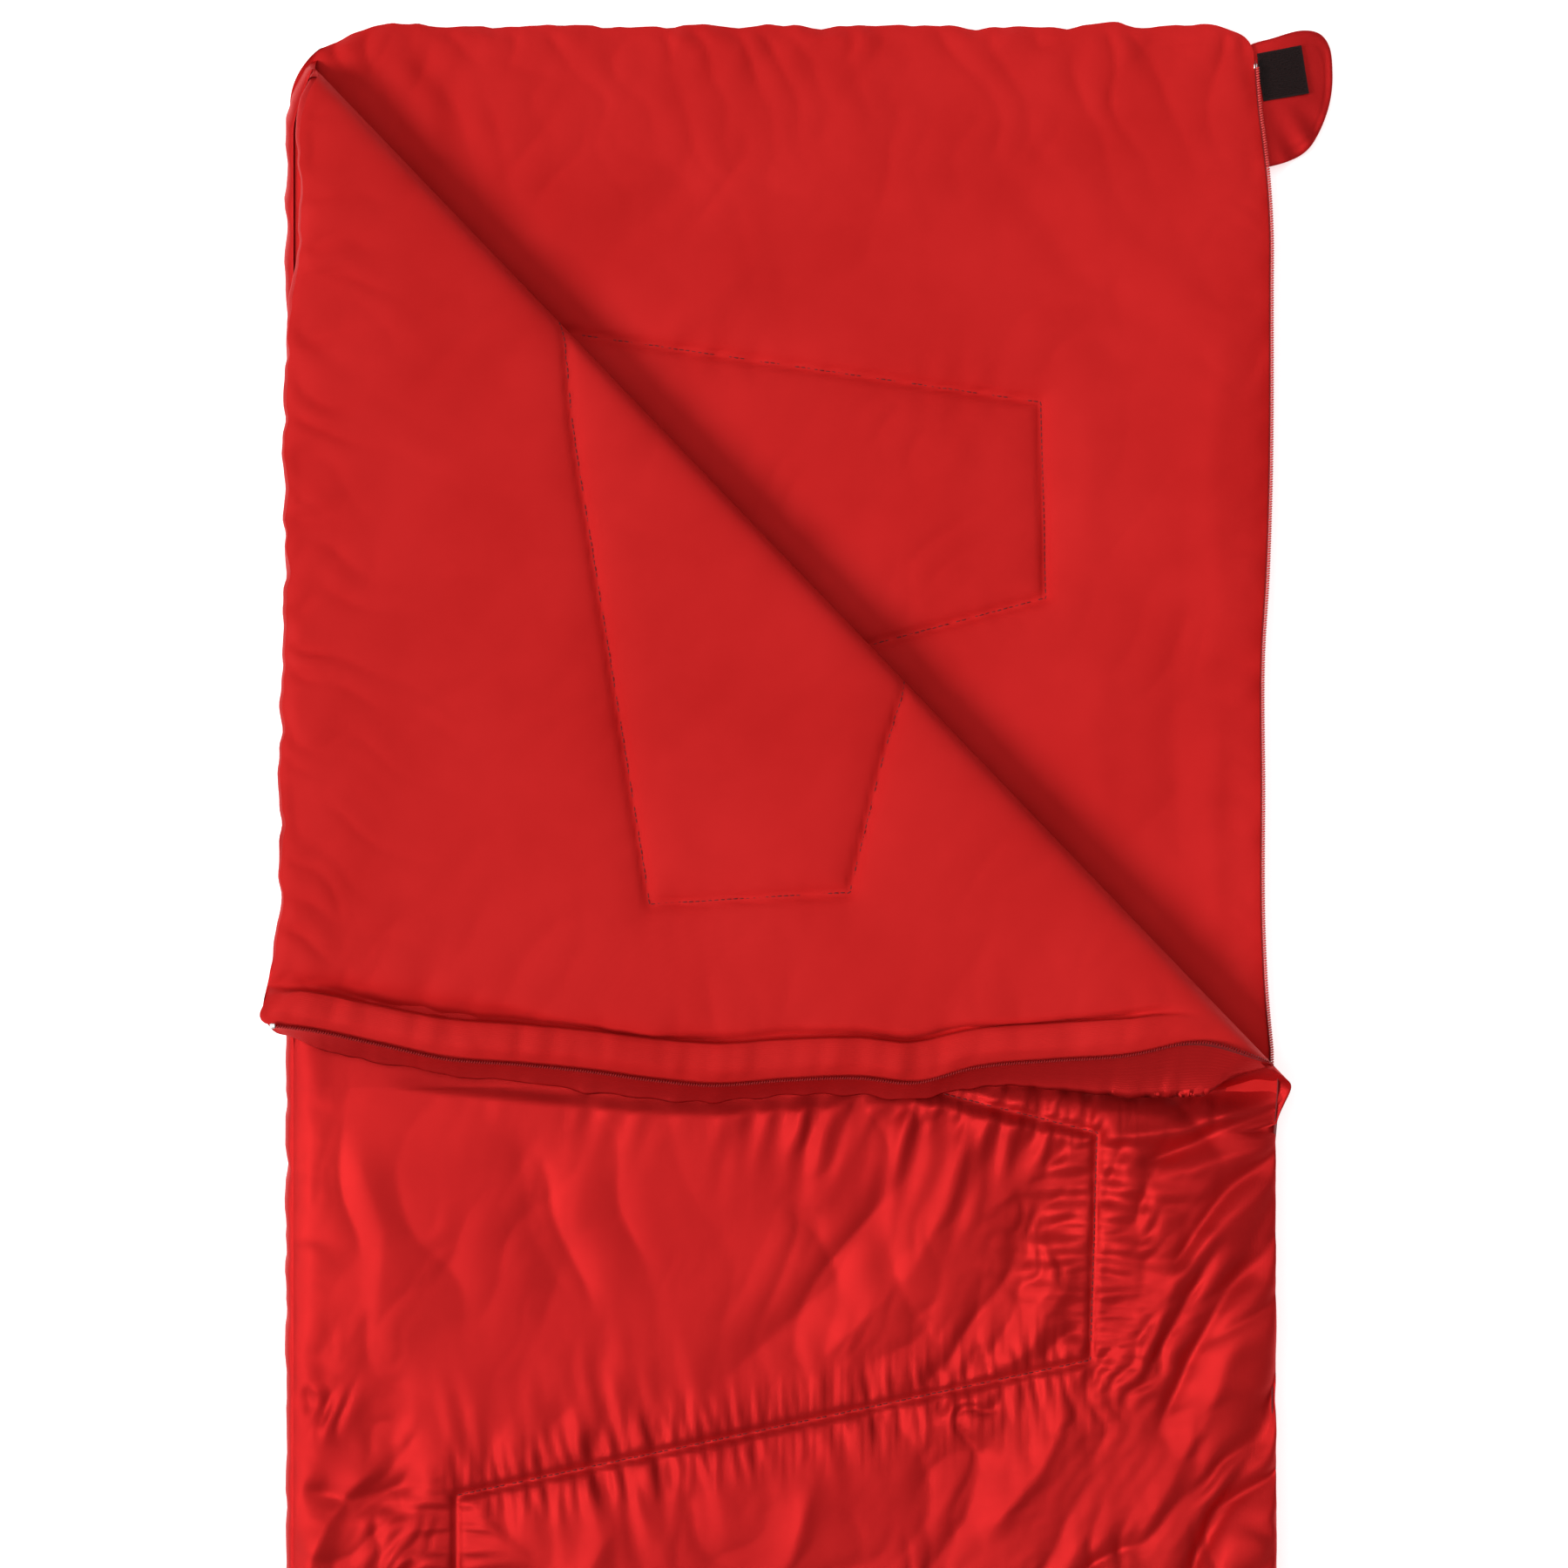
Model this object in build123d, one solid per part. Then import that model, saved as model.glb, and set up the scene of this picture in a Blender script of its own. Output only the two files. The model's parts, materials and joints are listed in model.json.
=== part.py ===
from build123d import *
import math
import os

# A rectangular sleeping bag, lying on its underside with one corner of the top layer turned back.
# The zip runs down the +X side and across the foot, the -X side is a plain fold of the quilt, and
# the head end faces +Y. The origin is the middle of the underside. All sizes are in millimetres.
#
# The bag is built closed and flat. The top layer is then cut along the diagonal fold, and the
# corner beyond it is turned half a circle about the fold, so that it lies on the top layer.

# ---- Driving dimensions -------------------------------------------------------------------

bag_width = 750.0
bag_length = 1800.0
quilt_thickness = 20.0
cloth_thickness = 0.8
sleeping_gap = 8.0              # free height between the two layers of the empty bag
fold_gap = 1.0                  # between the top layer and the corner that lies on it
fold_clearance = 0.6            # from the fold to the cut end of each part, in plan

seam_height = 7.0               # what the quilt is pinched to at a sewn edge
pinch_width = 50.0              # how far in from a sewn edge the pinch reaches
side_pinch_height = 13.0        # the same at the folded side, which has no seam
side_pinch_width = 18.0
foot_corner_radius = 40.0       # where the zip turns from the side to the foot
bottom_head_radius = 22.0       # the corner of the bottom layer at the head end of the zip
top_head_radius = 8.0           # the same corner of the top layer
top_head_inset = 25.0           # how much shorter the top layer is at the head end
head_corner_cut_x = 60.0        # the corner at the head end of the folded side, which is cut off
head_corner_cut_y = 50.0
side_roll_width = 8.0           # the quilt that turns from one layer to the other at the side
joint_clearance = 0.3           # between pieces that part at the folded side
side_hinge_out = 0.2            # the top layer opens about a line this far outside the folded side

fold_start_drop = 15.0          # from the head end to the fold line, at the folded side
unzipped_length = 795.0         # from the head end to the fold line, at the zip side

thread_width = 1.2              # each straight run of stitches, as one ribbon through the quilt
thread_end_gap = 4.0            # from a ribbon's end to the corner of the row
stitch_margin = 25.0            # where a row starts and stops, from the head and foot ends
top_row_right = 245.0
top_row_left = -245.0
top_row_step = 163.0
top_row_drop = 111.0
top_row_start = 308.0           # from the head end to the first step on the zip side
bottom_row_right = 200.0
bottom_row_left = -245.0
bottom_row_step = 158.0
bottom_row_drop = 105.0
bottom_row_start = 288.0

tape_thickness = 0.8
tape_overlap = 6.0              # how far the tape runs down the quilt's edge
coil_thickness = 2.4
coil_height = 2.5               # one half of the chain
coil_spacing = 1.2              # between the two halves
zip_end_gap = 8.0               # from the top layer's head end to the end of the coil
stop_length = 4.0
stop_growth = 0.3               # a stop is this much larger than the coil on each side
foot_zip_end = 25.0             # from the folded side to the end of the coil at the foot
foot_stop_gap = 0.6             # from the end of the coil to the stop, on the lower tape

slider_length = 14.0
slider_wall = 1.2
slider_play = 0.3               # round the coil and the tape inside the slider
slider_edge_play = 0.25         # between the slider and the two layers
slider_flange = 0.6
slider_offset = 10.0            # the slider's middle, below the end of the fold
chain_gap = 1.0                 # from the slider to the start of the closed chain
slider_post_length = 4.0
slider_post_play = 0.2
crown_length = 7.0
crown_width = 2.0
crown_height = 2.6
pin_radius = 0.6
pin_play = 0.08
pull_length = 28.0
pull_width = 5.0
pull_thickness = 1.2
pull_eye_wall = 1.1
pull_eye_reach = 5.0
pull_end_radius = 2.0

guard_width = 46.0              # how far the closing tab reaches out past the bag
guard_length = 100.0
guard_head_gap = 5.0            # from the head end to the tab
guard_thickness = 1.5
guard_head_radius = 14.0
guard_foot_radius = 34.0
guard_hinge_out = 0.5           # the tab turns about a line this far out from the bag's edge
guard_hinge_play = 0.2          # between the tab and what it is sewn to
patch_thickness = 1.2
patch_clearance = 0.3           # between the two patches when the tab is closed
hook_patch_width = 26.0
hook_patch_length = 33.0
hook_patch_in = 3.0             # from the bag's edge to the patch
hook_patch_head_gap = 17.0      # from the tab's head end to the patch
loop_patch_width = 24.0
loop_patch_in = 3.0             # from the bag's edge to the patch, along the slope

# ---- Levels and lines that follow from them -----------------------------------------------

half_width = bag_width / 2
half_length = bag_length / 2
top_low = quilt_thickness + sleeping_gap
top_high = top_low + quilt_thickness
fold_height = top_high + fold_gap / 2
zip_height = quilt_thickness + sleeping_gap / 2
bottom_seam = quilt_thickness - seam_height / 2
top_seam = top_low + seam_height / 2
top_head = half_length - top_head_inset

fold_drop = unzipped_length - fold_start_drop
fold_length = math.hypot(bag_width, fold_drop)
fold_start = Vector(-half_width, half_length - fold_start_drop, fold_height)
fold_direction = Vector(bag_width, -fold_drop, 0) / fold_length
fold_normal = Vector(fold_drop, bag_width, 0) / fold_length
fold_axis = Axis(fold_start, fold_direction)
fold_plane = Plane(origin=fold_start, x_dir=fold_direction, z_dir=fold_normal)

zip_top = top_head - zip_end_gap
coil_outer = tape_thickness / 2 + coil_thickness / 2     # outwards from the quilt's edge
coil_inner = tape_thickness / 2 - coil_thickness / 2
lower_coil_high = zip_height - coil_spacing / 2
lower_coil_low = lower_coil_high - coil_height
upper_coil_low = zip_height + coil_spacing / 2
upper_coil_high = upper_coil_low + coil_height
slider_y = half_length - unzipped_length - slider_offset
chain_top = slider_y - slider_length / 2 - chain_gap
coil_foot_end = -half_width + foot_zip_end
stop_foot_end = coil_foot_end - foot_stop_gap - stop_length

# The closing tab turns over the closed zip until its patch meets the one on the upper slope.
slope_angle = math.atan2(quilt_thickness - seam_height, pinch_width)
guard_high = quilt_thickness - seam_height            # level with the foot of the quilt's edge
guard_low = guard_high - guard_thickness
guard_head = half_length - guard_head_gap
guard_hinge_x = half_width + guard_hinge_out
guard_hinge_z = (
    guard_high + 2 * patch_thickness + patch_clearance
    + (top_low + seam_height) * math.cos(slope_angle) - guard_hinge_out * math.sin(slope_angle)
) / (1 + math.cos(slope_angle))
guard_travel = 180 - math.degrees(slope_angle)

os.makedirs("parts", exist_ok=True)


def save(name, shape):
    """Writes one sub-part, with its volume, to parts/NAME.step."""
    solids = shape.solids()
    whole = solids[0] if len(solids) == 1 else Compound(children=list(solids))
    whole.label = name
    export_step(whole, f"parts/{name}.step")
    print(f"{name}: {len(solids)} solid(s), {sum(s.volume for s in solids):.1f} mm3")


# ---- The quilt ----------------------------------------------------------------------------

def outline(grow, head, head_radius, cut_head_corner):
    """One layer's outline as a face at z 0, grown outwards, with both corners at the zip round.

    head is the Y of its head end, and head_radius rounds the corner there.
    """
    middle = (head - half_length) / 2
    face = Pos(0, middle) * Rectangle(bag_width + 2 * grow, head + half_length + 2 * grow)
    foot_corner = face.vertices().sort_by(Axis.X)[-2:].sort_by(Axis.Y)[0]
    face = fillet(foot_corner, foot_corner_radius + grow)
    head_corner = face.vertices().sort_by(Axis.Y)[-2:].sort_by(Axis.X)[-1]
    face = fillet(head_corner, head_radius + grow)
    if cut_head_corner:
        cut_start = Vector(-half_width, half_length - head_corner_cut_y, 0)
        along = Vector(head_corner_cut_x, head_corner_cut_y, 0).normalized()
        away = Vector(-along.Y, along.X, 0)
        cut_plane = Plane(origin=cut_start, x_dir=along, z_dir=away).offset(grow)
        face = split(face, bisect_by=cut_plane, keep=Keep.BOTTOM)
    return face


def pinch_planes(z_seam_side, outer_sign, head):
    """The slanting planes that thin the quilt towards its edges, on the shell's side of it.

    z_seam_side is the height of the lining's face, and outer_sign is -1 where the shell is below.
    """
    planes = []
    sewn_edges = [(1, 0, half_width), (0, 1, head), (0, -1, half_length)]
    for x, y, reach in sewn_edges:
        rise = quilt_thickness - seam_height
        edge = Vector(x * reach, y * reach, z_seam_side + outer_sign * seam_height)
        planes.append(slope(edge, x, y, rise, pinch_width, outer_sign))
    edge = Vector(-half_width, 0, z_seam_side + outer_sign * side_pinch_height)
    planes.append(slope(edge, -1, 0, quilt_thickness - side_pinch_height, side_pinch_width, outer_sign))
    return planes


def slope(edge, x, y, rise, run, outer_sign):
    """A plane through an edge that gains rise over run, with its normal pointing out of the quilt."""
    normal = Vector(x * rise, y * rise, outer_sign * run).normalized()
    return Plane(origin=edge, x_dir=Vector(-y, x, 0), z_dir=normal)


def quilt_block(z_low, outer_sign, inset):
    """One whole layer of quilt as a convex block, or its core where inset is the cloth's thickness."""
    is_bottom = outer_sign < 0
    head = half_length if is_bottom else top_head
    head_radius = bottom_head_radius if is_bottom else top_head_radius
    sheet = Pos(0, 0, z_low + inset) * outline(-inset, head, head_radius, cut_head_corner=True)
    block = extrude(sheet, amount=quilt_thickness - 2 * inset)
    lining_face = z_low + quilt_thickness if is_bottom else z_low
    for plane in pinch_planes(lining_face, outer_sign, head):
        block = split(block, bisect_by=plane.offset(-inset), keep=Keep.BOTTOM)
    return block


def stitch_row(right, left, step, drop, start, z_low, head):
    """A stepped row of stitches from the head to the foot, as thin upright ribbons.

    Each straight run is a ribbon that stops short of the row's corners, where the quilt's own
    layers stay whole.
    """
    first = head - stitch_margin
    last = -half_length + stitch_margin
    points = [(left, first)]
    side, other = left, right
    y = half_length - start + drop + step
    while y > last:
        if y < first:
            points.append((side, y))
        y = max(y - step, last)
        points.append((side, y))
        y -= drop
        side, other = other, side
    runs = []
    for here, there in zip(points, points[1:]):
        along = Vector(*there) - Vector(*here)
        length = along.length - 2 * thread_end_gap
        middle = (Vector(*there) + Vector(*here)) / 2
        ribbon = Box(length, thread_width, quilt_thickness)
        turn = math.degrees(math.atan2(along.Y, along.X))
        runs.append(Pos(middle.X, middle.Y, z_low + quilt_thickness / 2) * Rot(0, 0, turn) * ribbon)
    return Compound(children=runs)


def quilted_layer(z_low, outer_sign, seam, thread):
    """Shell, wadding, lining and stitches of one layer. The thread runs in a slot of its own width."""
    block = quilt_block(z_low, outer_sign, 0)
    core = quilt_block(z_low, outer_sign, cloth_thickness)
    skin = block - core
    seam_plane = Plane(origin=(0, 0, seam), z_dir=(0, 0, outer_sign))
    shell = split(skin, bisect_by=seam_plane, keep=Keep.TOP)
    lining = split(skin, bisect_by=seam_plane, keep=Keep.BOTTOM)
    pieces = {"shell": shell, "wadding": core, "lining": lining}
    made = {name: piece - thread for name, piece in pieces.items()}
    made["quilt_stitching"] = thread & block
    return made


def side_roll(z_low, z_high):
    """Half of the quilt that turns over at the folded side and closes the bag there."""
    foot = -half_length + pinch_width
    head = half_length - head_corner_cut_y - pinch_width
    middle = Pos(-half_width + side_roll_width / 2, (foot + head) / 2, (z_low + z_high) / 2)
    return middle * Box(side_roll_width, head - foot, z_high - z_low)


# ---- The zip ------------------------------------------------------------------------------

def edge_band(near, far, z_low, z_high, top, foot_end):
    """A strip along the +X side and the foot, from near to far outwards of the outline.

    It starts at the height top on the side and ends at foot_end, an X, on the foot.
    """
    reach = foot_corner_radius + far
    side = Pos(half_width, (top - half_length - far) / 2) * Rectangle(
        2 * reach, top + half_length + far)
    foot = Pos((half_width + far + foot_end) / 2, -half_length) * Rectangle(
        half_width + far - foot_end, 2 * reach)
    whole = outline(far, half_length, bottom_head_radius, cut_head_corner=False)
    ring = whole - outline(near, half_length, bottom_head_radius, cut_head_corner=False)
    return extrude(Pos(0, 0, z_low) * (ring & (side + foot)), amount=z_high - z_low)


def zip_stop(y_low, y_high, z_low, z_high):
    """A stop closed round the end of one half of the chain."""
    width = coil_thickness + 2 * stop_growth
    place = Pos(half_width + tape_thickness / 2, (y_low + y_high) / 2, (z_low + z_high) / 2)
    return place * Box(width, y_high - y_low, z_high - z_low + 2 * stop_growth)


def foot_end_stop():
    """The block at the far end of the zip, which stands on the lower tape and ends the chain."""
    place = Pos(stop_foot_end + stop_length / 2, -half_length - tape_thickness / 2, zip_height)
    height = upper_coil_high - lower_coil_low
    return place * Box(stop_length, coil_thickness + 2 * stop_growth, height)


def slider_body():
    """Two wings with flanges round the chain, joined by a post, and a crown that holds the pull."""
    middle = half_width + tape_thickness / 2
    channel = coil_thickness + 2 * slider_play
    depth = channel + 2 * slider_wall
    height = sleeping_gap - 2 * slider_edge_play
    block = Box(depth, slider_length, height)
    block = fillet(block.edges().filter_by(Axis.X), slider_wall)
    block -= Box(channel, slider_length + 1, height - 2 * slider_flange)
    block -= Box(tape_thickness + 2 * slider_play, slider_length + 1, height + 1)
    post_y = slider_length / 2 - slider_post_length / 2 - slider_wall
    post = Pos(0, post_y, 0) * Box(
        channel + slider_wall, slider_post_length, coil_spacing - 2 * slider_post_play)
    crown = Pos(depth / 2 + crown_height / 2, 0, 0) * Box(crown_height, crown_length, crown_width)
    crown = fillet(crown.edges().filter_by(Axis.Z).group_by(Axis.X)[-1], crown_height / 2)
    pin_hole = Pos(pull_axis_out(), 0, 0) * Cylinder(pin_radius + pin_play, crown_width + 1)
    return Pos(middle, slider_y, zip_height) * (block + post + crown - pin_hole)


def pull_axis_out():
    """How far the pull's pin lies from the middle of the chain, outwards."""
    return coil_thickness / 2 + slider_play + slider_wall + crown_height / 2


def pull_tab():
    """The pull: a flat tab with an eye round the crown, whose pin runs through the crown's hole."""
    plate = Pos(0, -pull_length / 2, 0) * Box(pull_thickness, pull_length, pull_width)
    far_corners = plate.edges().filter_by(Axis.X).group_by(Axis.Y)[0]
    plate = fillet(far_corners, pull_end_radius)
    near_end = Cylinder(pull_thickness / 2, pull_width)
    eye = Pos(0, -pull_eye_reach / 2 + pull_thickness, 0) * Box(
        pull_thickness + 1, pull_eye_reach + 2 * pull_thickness, pull_width - 2 * pull_eye_wall)
    pin = Cylinder(pin_radius, pull_width)
    middle = half_width + tape_thickness / 2 + pull_axis_out()
    return Pos(middle, slider_y, zip_height) * (plate + near_end - eye + pin)


# ---- The closing tab ----------------------------------------------------------------------

def closing_tab():
    """The tab of shell cloth that folds over the end of the zip, flat and open."""
    inner = half_width + guard_hinge_play
    outer = half_width + guard_width
    middle = Pos((inner + outer) / 2, guard_head - guard_length / 2, (guard_low + guard_high) / 2)
    plate = middle * Box(outer - inner, guard_length, guard_thickness)
    corners = plate.edges().filter_by(Axis.Z).group_by(Axis.X)[-1].sort_by(Axis.Y)
    plate = fillet(corners[0], guard_foot_radius)
    corners = plate.edges().filter_by(Axis.Z).sort_by(Axis.Y)
    return fillet(corners[-1:], guard_head_radius)


def hook_patch():
    """The hook half of the fastener, on the tab's upper face."""
    place = Pos(
        half_width + hook_patch_in + hook_patch_width / 2,
        guard_head - hook_patch_head_gap - hook_patch_length / 2,
        guard_high + patch_thickness / 2,
    )
    return place * Box(hook_patch_width, hook_patch_length, patch_thickness)


def loop_patch():
    """The loop half, on the top layer's slope by the zip, where the closed tab lands."""
    rise = quilt_thickness - seam_height
    patch_y = guard_head - hook_patch_head_gap - hook_patch_length / 2
    edge = Vector(half_width, patch_y, top_low + seam_height)
    slope_plane = slope(edge, 1, 0, rise, pinch_width, 1)
    box = Box(hook_patch_length, loop_patch_width, patch_thickness)
    return slope_plane * (Pos(0, loop_patch_in + loop_patch_width / 2, patch_thickness / 2) * box)


# ---- The assembly -------------------------------------------------------------------------

def below_fold(shape):
    """The part of a closed top layer's piece that stays on the bag."""
    return split(shape, bisect_by=fold_plane.offset(-fold_clearance), keep=Keep.BOTTOM)


def turned_back(shape):
    """The part beyond the fold, turned half a circle about it."""
    corner = split(shape, bisect_by=fold_plane.offset(fold_clearance), keep=Keep.TOP)
    return corner.rotate(fold_axis, 180)


bottom_thread = stitch_row(
    bottom_row_right, bottom_row_left, bottom_row_step, bottom_row_drop, bottom_row_start, 0,
    half_length)
top_thread = stitch_row(
    top_row_right, top_row_left, top_row_step, top_row_drop, top_row_start, top_low, top_head)

for piece_name, piece in quilted_layer(0, -1, bottom_seam, bottom_thread).items():
    save(f"bottom_{piece_name}", piece)
for piece_name, piece in quilted_layer(top_low, 1, top_seam, top_thread).items():
    save(f"top_{piece_name}", below_fold(piece))
    save(f"corner_{piece_name}", turned_back(piece))

save("side_roll_lower", side_roll(quilt_thickness, zip_height - joint_clearance))
save("side_roll_upper", side_roll(zip_height + joint_clearance, top_low))

lower_tape = edge_band(
    0, tape_thickness, quilt_thickness - tape_overlap, lower_coil_low,
    half_length - bottom_head_radius, stop_foot_end)
upper_tape = edge_band(
    0, tape_thickness, upper_coil_high, top_low + tape_overlap,
    top_head - top_head_radius, coil_foot_end)
lower_coil = edge_band(
    coil_inner, coil_outer, lower_coil_low, lower_coil_high, zip_top, coil_foot_end)
upper_coil = edge_band(
    coil_inner, coil_outer, upper_coil_low, upper_coil_high, zip_top, coil_foot_end)
closed_chain = split(upper_coil, bisect_by=Plane(origin=(0, chain_top, 0), z_dir=(0, 1, 0)),
                     keep=Keep.BOTTOM)
save("zip_tape_lower", lower_tape)
save("zip_coil_lower", lower_coil)
save("zip_tape_upper", below_fold(upper_tape))
save("zip_coil_upper", closed_chain)
save("zip_tape_corner", turned_back(upper_tape))
save("zip_coil_corner", turned_back(upper_coil))
save("zip_top_stop_lower", zip_stop(
    zip_top, zip_top + stop_length, lower_coil_low + stop_growth, lower_coil_high))
save("zip_top_stop_corner", turned_back(zip_stop(
    zip_top, zip_top + stop_length, upper_coil_low, upper_coil_high - stop_growth)))
save("zip_foot_stop", foot_end_stop())
save("slider_body", slider_body())
save("slider_pull", pull_tab())

save("closing_tab", closing_tab())
save("hook_patch", hook_patch())
save("loop_patch", turned_back(loop_patch()))

print(f"fold line from {fold_start} along {fold_direction}")
print(f"side hinge at X {-half_width - side_hinge_out}, Z {zip_height}")
print(f"slider's middle at Y {slider_y}, pull's pin {pull_axis_out()} out of the chain's middle")
print(f"closing tab's hinge at X {guard_hinge_x}, Z {guard_hinge_z}, travel {guard_travel} degrees")
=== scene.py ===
# %% [markdown]
# # A rectangular sleeping bag, laid flat with one corner turned back
# The stiff model of the bag comes first. It fixes where every layer, seam and hinge line lies, and the
# cloth that is made below is wrapped round it. Nothing here moves or resizes that model.

# %% Load the model of the bag
import json
import math

import bpy
import numpy as np
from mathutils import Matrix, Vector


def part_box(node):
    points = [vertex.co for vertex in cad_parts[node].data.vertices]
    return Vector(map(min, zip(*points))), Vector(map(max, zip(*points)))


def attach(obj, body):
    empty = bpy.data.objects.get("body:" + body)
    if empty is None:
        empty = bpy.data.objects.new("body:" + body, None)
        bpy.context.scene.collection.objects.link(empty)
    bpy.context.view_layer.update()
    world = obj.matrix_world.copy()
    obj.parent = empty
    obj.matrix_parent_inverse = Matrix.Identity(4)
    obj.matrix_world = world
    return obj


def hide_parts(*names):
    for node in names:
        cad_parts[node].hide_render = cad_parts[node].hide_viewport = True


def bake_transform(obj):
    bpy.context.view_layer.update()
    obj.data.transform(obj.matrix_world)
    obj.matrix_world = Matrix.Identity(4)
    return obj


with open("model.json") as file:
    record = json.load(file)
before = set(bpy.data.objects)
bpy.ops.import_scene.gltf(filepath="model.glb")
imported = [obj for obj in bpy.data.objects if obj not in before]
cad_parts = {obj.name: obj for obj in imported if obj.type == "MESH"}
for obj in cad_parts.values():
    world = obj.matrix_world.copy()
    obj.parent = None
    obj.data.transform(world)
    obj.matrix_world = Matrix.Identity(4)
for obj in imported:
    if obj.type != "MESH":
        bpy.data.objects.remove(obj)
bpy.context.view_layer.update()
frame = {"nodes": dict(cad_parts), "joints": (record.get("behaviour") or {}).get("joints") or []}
print("pieces of the model:", len(frame["nodes"]))

# %% [markdown]
# ## Lines and levels
# A quilt is two cloths with wadding between them, so each layer of the bag has an outer cloth, the
# shell, and an inner one, the lining. The levels of those cloths, the sewn edges and the diagonal line
# about which the corner turns are read from the model, so the soft pieces meet it everywhere.

# %% Levels of the cloths, edges of the bag and the fold line
MM = 0.001
low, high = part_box("bottom_lining")
left_x, right_x = low.x, high.x
foot_y, head_y = low.y, high.y
bottom_seam_z = low.z
top_seam_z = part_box("top_lining")[1].z
top_shell_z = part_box("top_shell")[1].z
top_head_y = head_y - 25 * MM
joints = {joint["name"]: joint for joint in frame["joints"]}
fold_point = np.array(joints["corner_fold"]["pos_m"])
fold_along = -np.array(joints["corner_fold"]["axis"][:2])
fold_out = np.array([-fold_along[1], fold_along[0]])
fold_z = fold_point[2]
print("fold runs along", fold_along.round(3), "at height", fold_z)


def fold_side(x, y):
    """How far a point is past the fold line: its offset from the hinge, times the line's normal."""
    return (x - fold_point[0]) * fold_out[0] + (y - fold_point[1]) * fold_out[1]


def fold_x(y):
    """The X at which the fold line crosses a given Y."""
    return fold_point[0] - (y - fold_point[1]) * fold_out[1] / fold_out[0]


def turn_over(x, y, z):
    """A half turn about the fold line: the offset from it changes sign, and so does the height."""
    s = fold_side(x, y)
    return x - 2 * s * fold_out[0], y - 2 * s * fold_out[1], 2 * fold_z - z


# %% [markdown]
# ## Small numerical tools
# Every surface below is a grid of points worked out as whole arrays. These few functions are all that
# they need: a soft step, gentle random waves, the distance to a line of stitches, a curve through
# chosen points, and a look-up in a grid.

# %% Steps, waves, distances and look-ups
def soft_step(t):
    """0 below 0, 1 above 1 and 3t^2 - 2t^3 between."""
    t = np.clip(t, 0, 1)
    return t * t * (3 - 2 * t)


def waves(x, y, length, seed, angle=None, spread=0.5, count=28):
    """The mean of plane cosine waves of about one length, with random phases.

    With an angle, in degrees, the crests run near that direction, within spread radians.
    """
    rng = np.random.default_rng(seed)
    heading = rng.uniform(0, 2 * np.pi, count)
    if angle is not None:
        heading = np.radians(angle + 90) + rng.normal(0, spread, count)
    k = 2 * np.pi / (length * rng.uniform(0.7, 1.4, count))
    phase = rng.uniform(0, 2 * np.pi, count)
    total = np.zeros(np.broadcast(x, y).shape)
    for number, turn, shift in zip(k, heading, phase):
        total += np.cos(number * (x * np.cos(turn) + y * np.sin(turn)) + shift)
    return total / math.sqrt(count)


def creased(x, y, length, seed, angle, spread=0.35, wander=0.35):
    """Folds with soft backs and sharp valleys: the size of waves, to the power 0.76, less 0.75.

    The coordinates wander by a share of the length, with slower waves, so that no two folds run alike.
    """
    shift = wander * length
    u = x + shift * waves(x, y, 2.6 * length, seed + 500)
    v = y + shift * waves(x, y, 2.6 * length, seed + 501)
    w = waves(u, v, 2 * length, seed, angle, spread)
    return (w * w + 0.004) ** 0.38 - 0.75


def near_line(x, y, points):
    """The distance to a line of straight runs, the direction of the nearest run, and how far along.

    On each run the nearest point is its start plus the run times the clipped dot product.
    """
    best = np.full(np.broadcast(x, y).shape, np.inf)
    heading = np.zeros_like(best)
    along = np.zeros_like(best)
    done = 0.0
    for (ax, ay), (bx, by) in zip(points, points[1:]):
        run = math.hypot(bx - ax, by - ay)
        ux, uy = (bx - ax) / run, (by - ay) / run
        t = np.clip((x - ax) * ux + (y - ay) * uy, 0, run)
        d = np.hypot(x - ax - t * ux, y - ay - t * uy)
        closer = d < best
        best = np.where(closer, d, best)
        heading = np.where(closer, math.atan2(uy, ux), heading)
        along = np.where(closer, done + t, along)
        done += run
    return best, heading, along / done


def curve_at(x, knots):
    """A smooth curve through knots (x, value): cubic pieces with the mean slope at each knot."""
    kx, kv = np.array(knots, float).T
    slope = np.gradient(kv, kx)
    x = np.clip(x, kx[0], kx[-1])
    i = np.clip(np.searchsorted(kx, x) - 1, 0, len(kx) - 2)
    h = kx[i + 1] - kx[i]
    t = (x - kx[i]) / h
    rise = kv[i] * (1 + 2 * t) * (1 - t) ** 2 + kv[i + 1] * t * t * (3 - 2 * t)
    return rise + h * (slope[i] * t * (1 - t) ** 2 - slope[i + 1] * t * t * (1 - t))


def crease(x, y, points, width, height, sharpness=2.0):
    """A ridge or groove along a line: height times a bell of the distance, fading at both ends.

    The bell is exp(-(d / w)^n), where n is the sharpness. Under 2 it gives a keener top and a wider foot.
    """
    d, _, along = near_line(x, y, points)
    fade = soft_step(along / 0.25) * soft_step((1 - along) / 0.25)
    return height * fade * np.exp(-((d / width) ** sharpness))


def read_grid(field, x, y, box):
    """The value of a grid of numbers at any points, weighted linearly between its four neighbours."""
    x0, x1, y0, y1 = box
    rows, columns = field.shape[:2]
    u = np.clip((x - x0) / (x1 - x0), 0, 1) * (columns - 1)
    v = np.clip((y - y0) / (y1 - y0), 0, 1) * (rows - 1)
    i = np.minimum(u.astype(int), columns - 2)
    j = np.minimum(v.astype(int), rows - 2)
    fu, fv = u - i, v - j
    if field.ndim == 3:
        fu, fv = fu[..., None], fv[..., None]
    lower = field[j, i] * (1 - fu) + field[j, i + 1] * fu
    upper = field[j + 1, i] * (1 - fu) + field[j + 1, i + 1] * fu
    return lower * (1 - fv) + upper * fv


# %% [markdown]
# ## From arrays to a mesh
# A grid of points becomes a mesh of four-sided faces in one call. The flat cutting pattern is kept as a
# UV map, in metres, so that the weave of the cloth follows the cloth and not the room.

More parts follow.
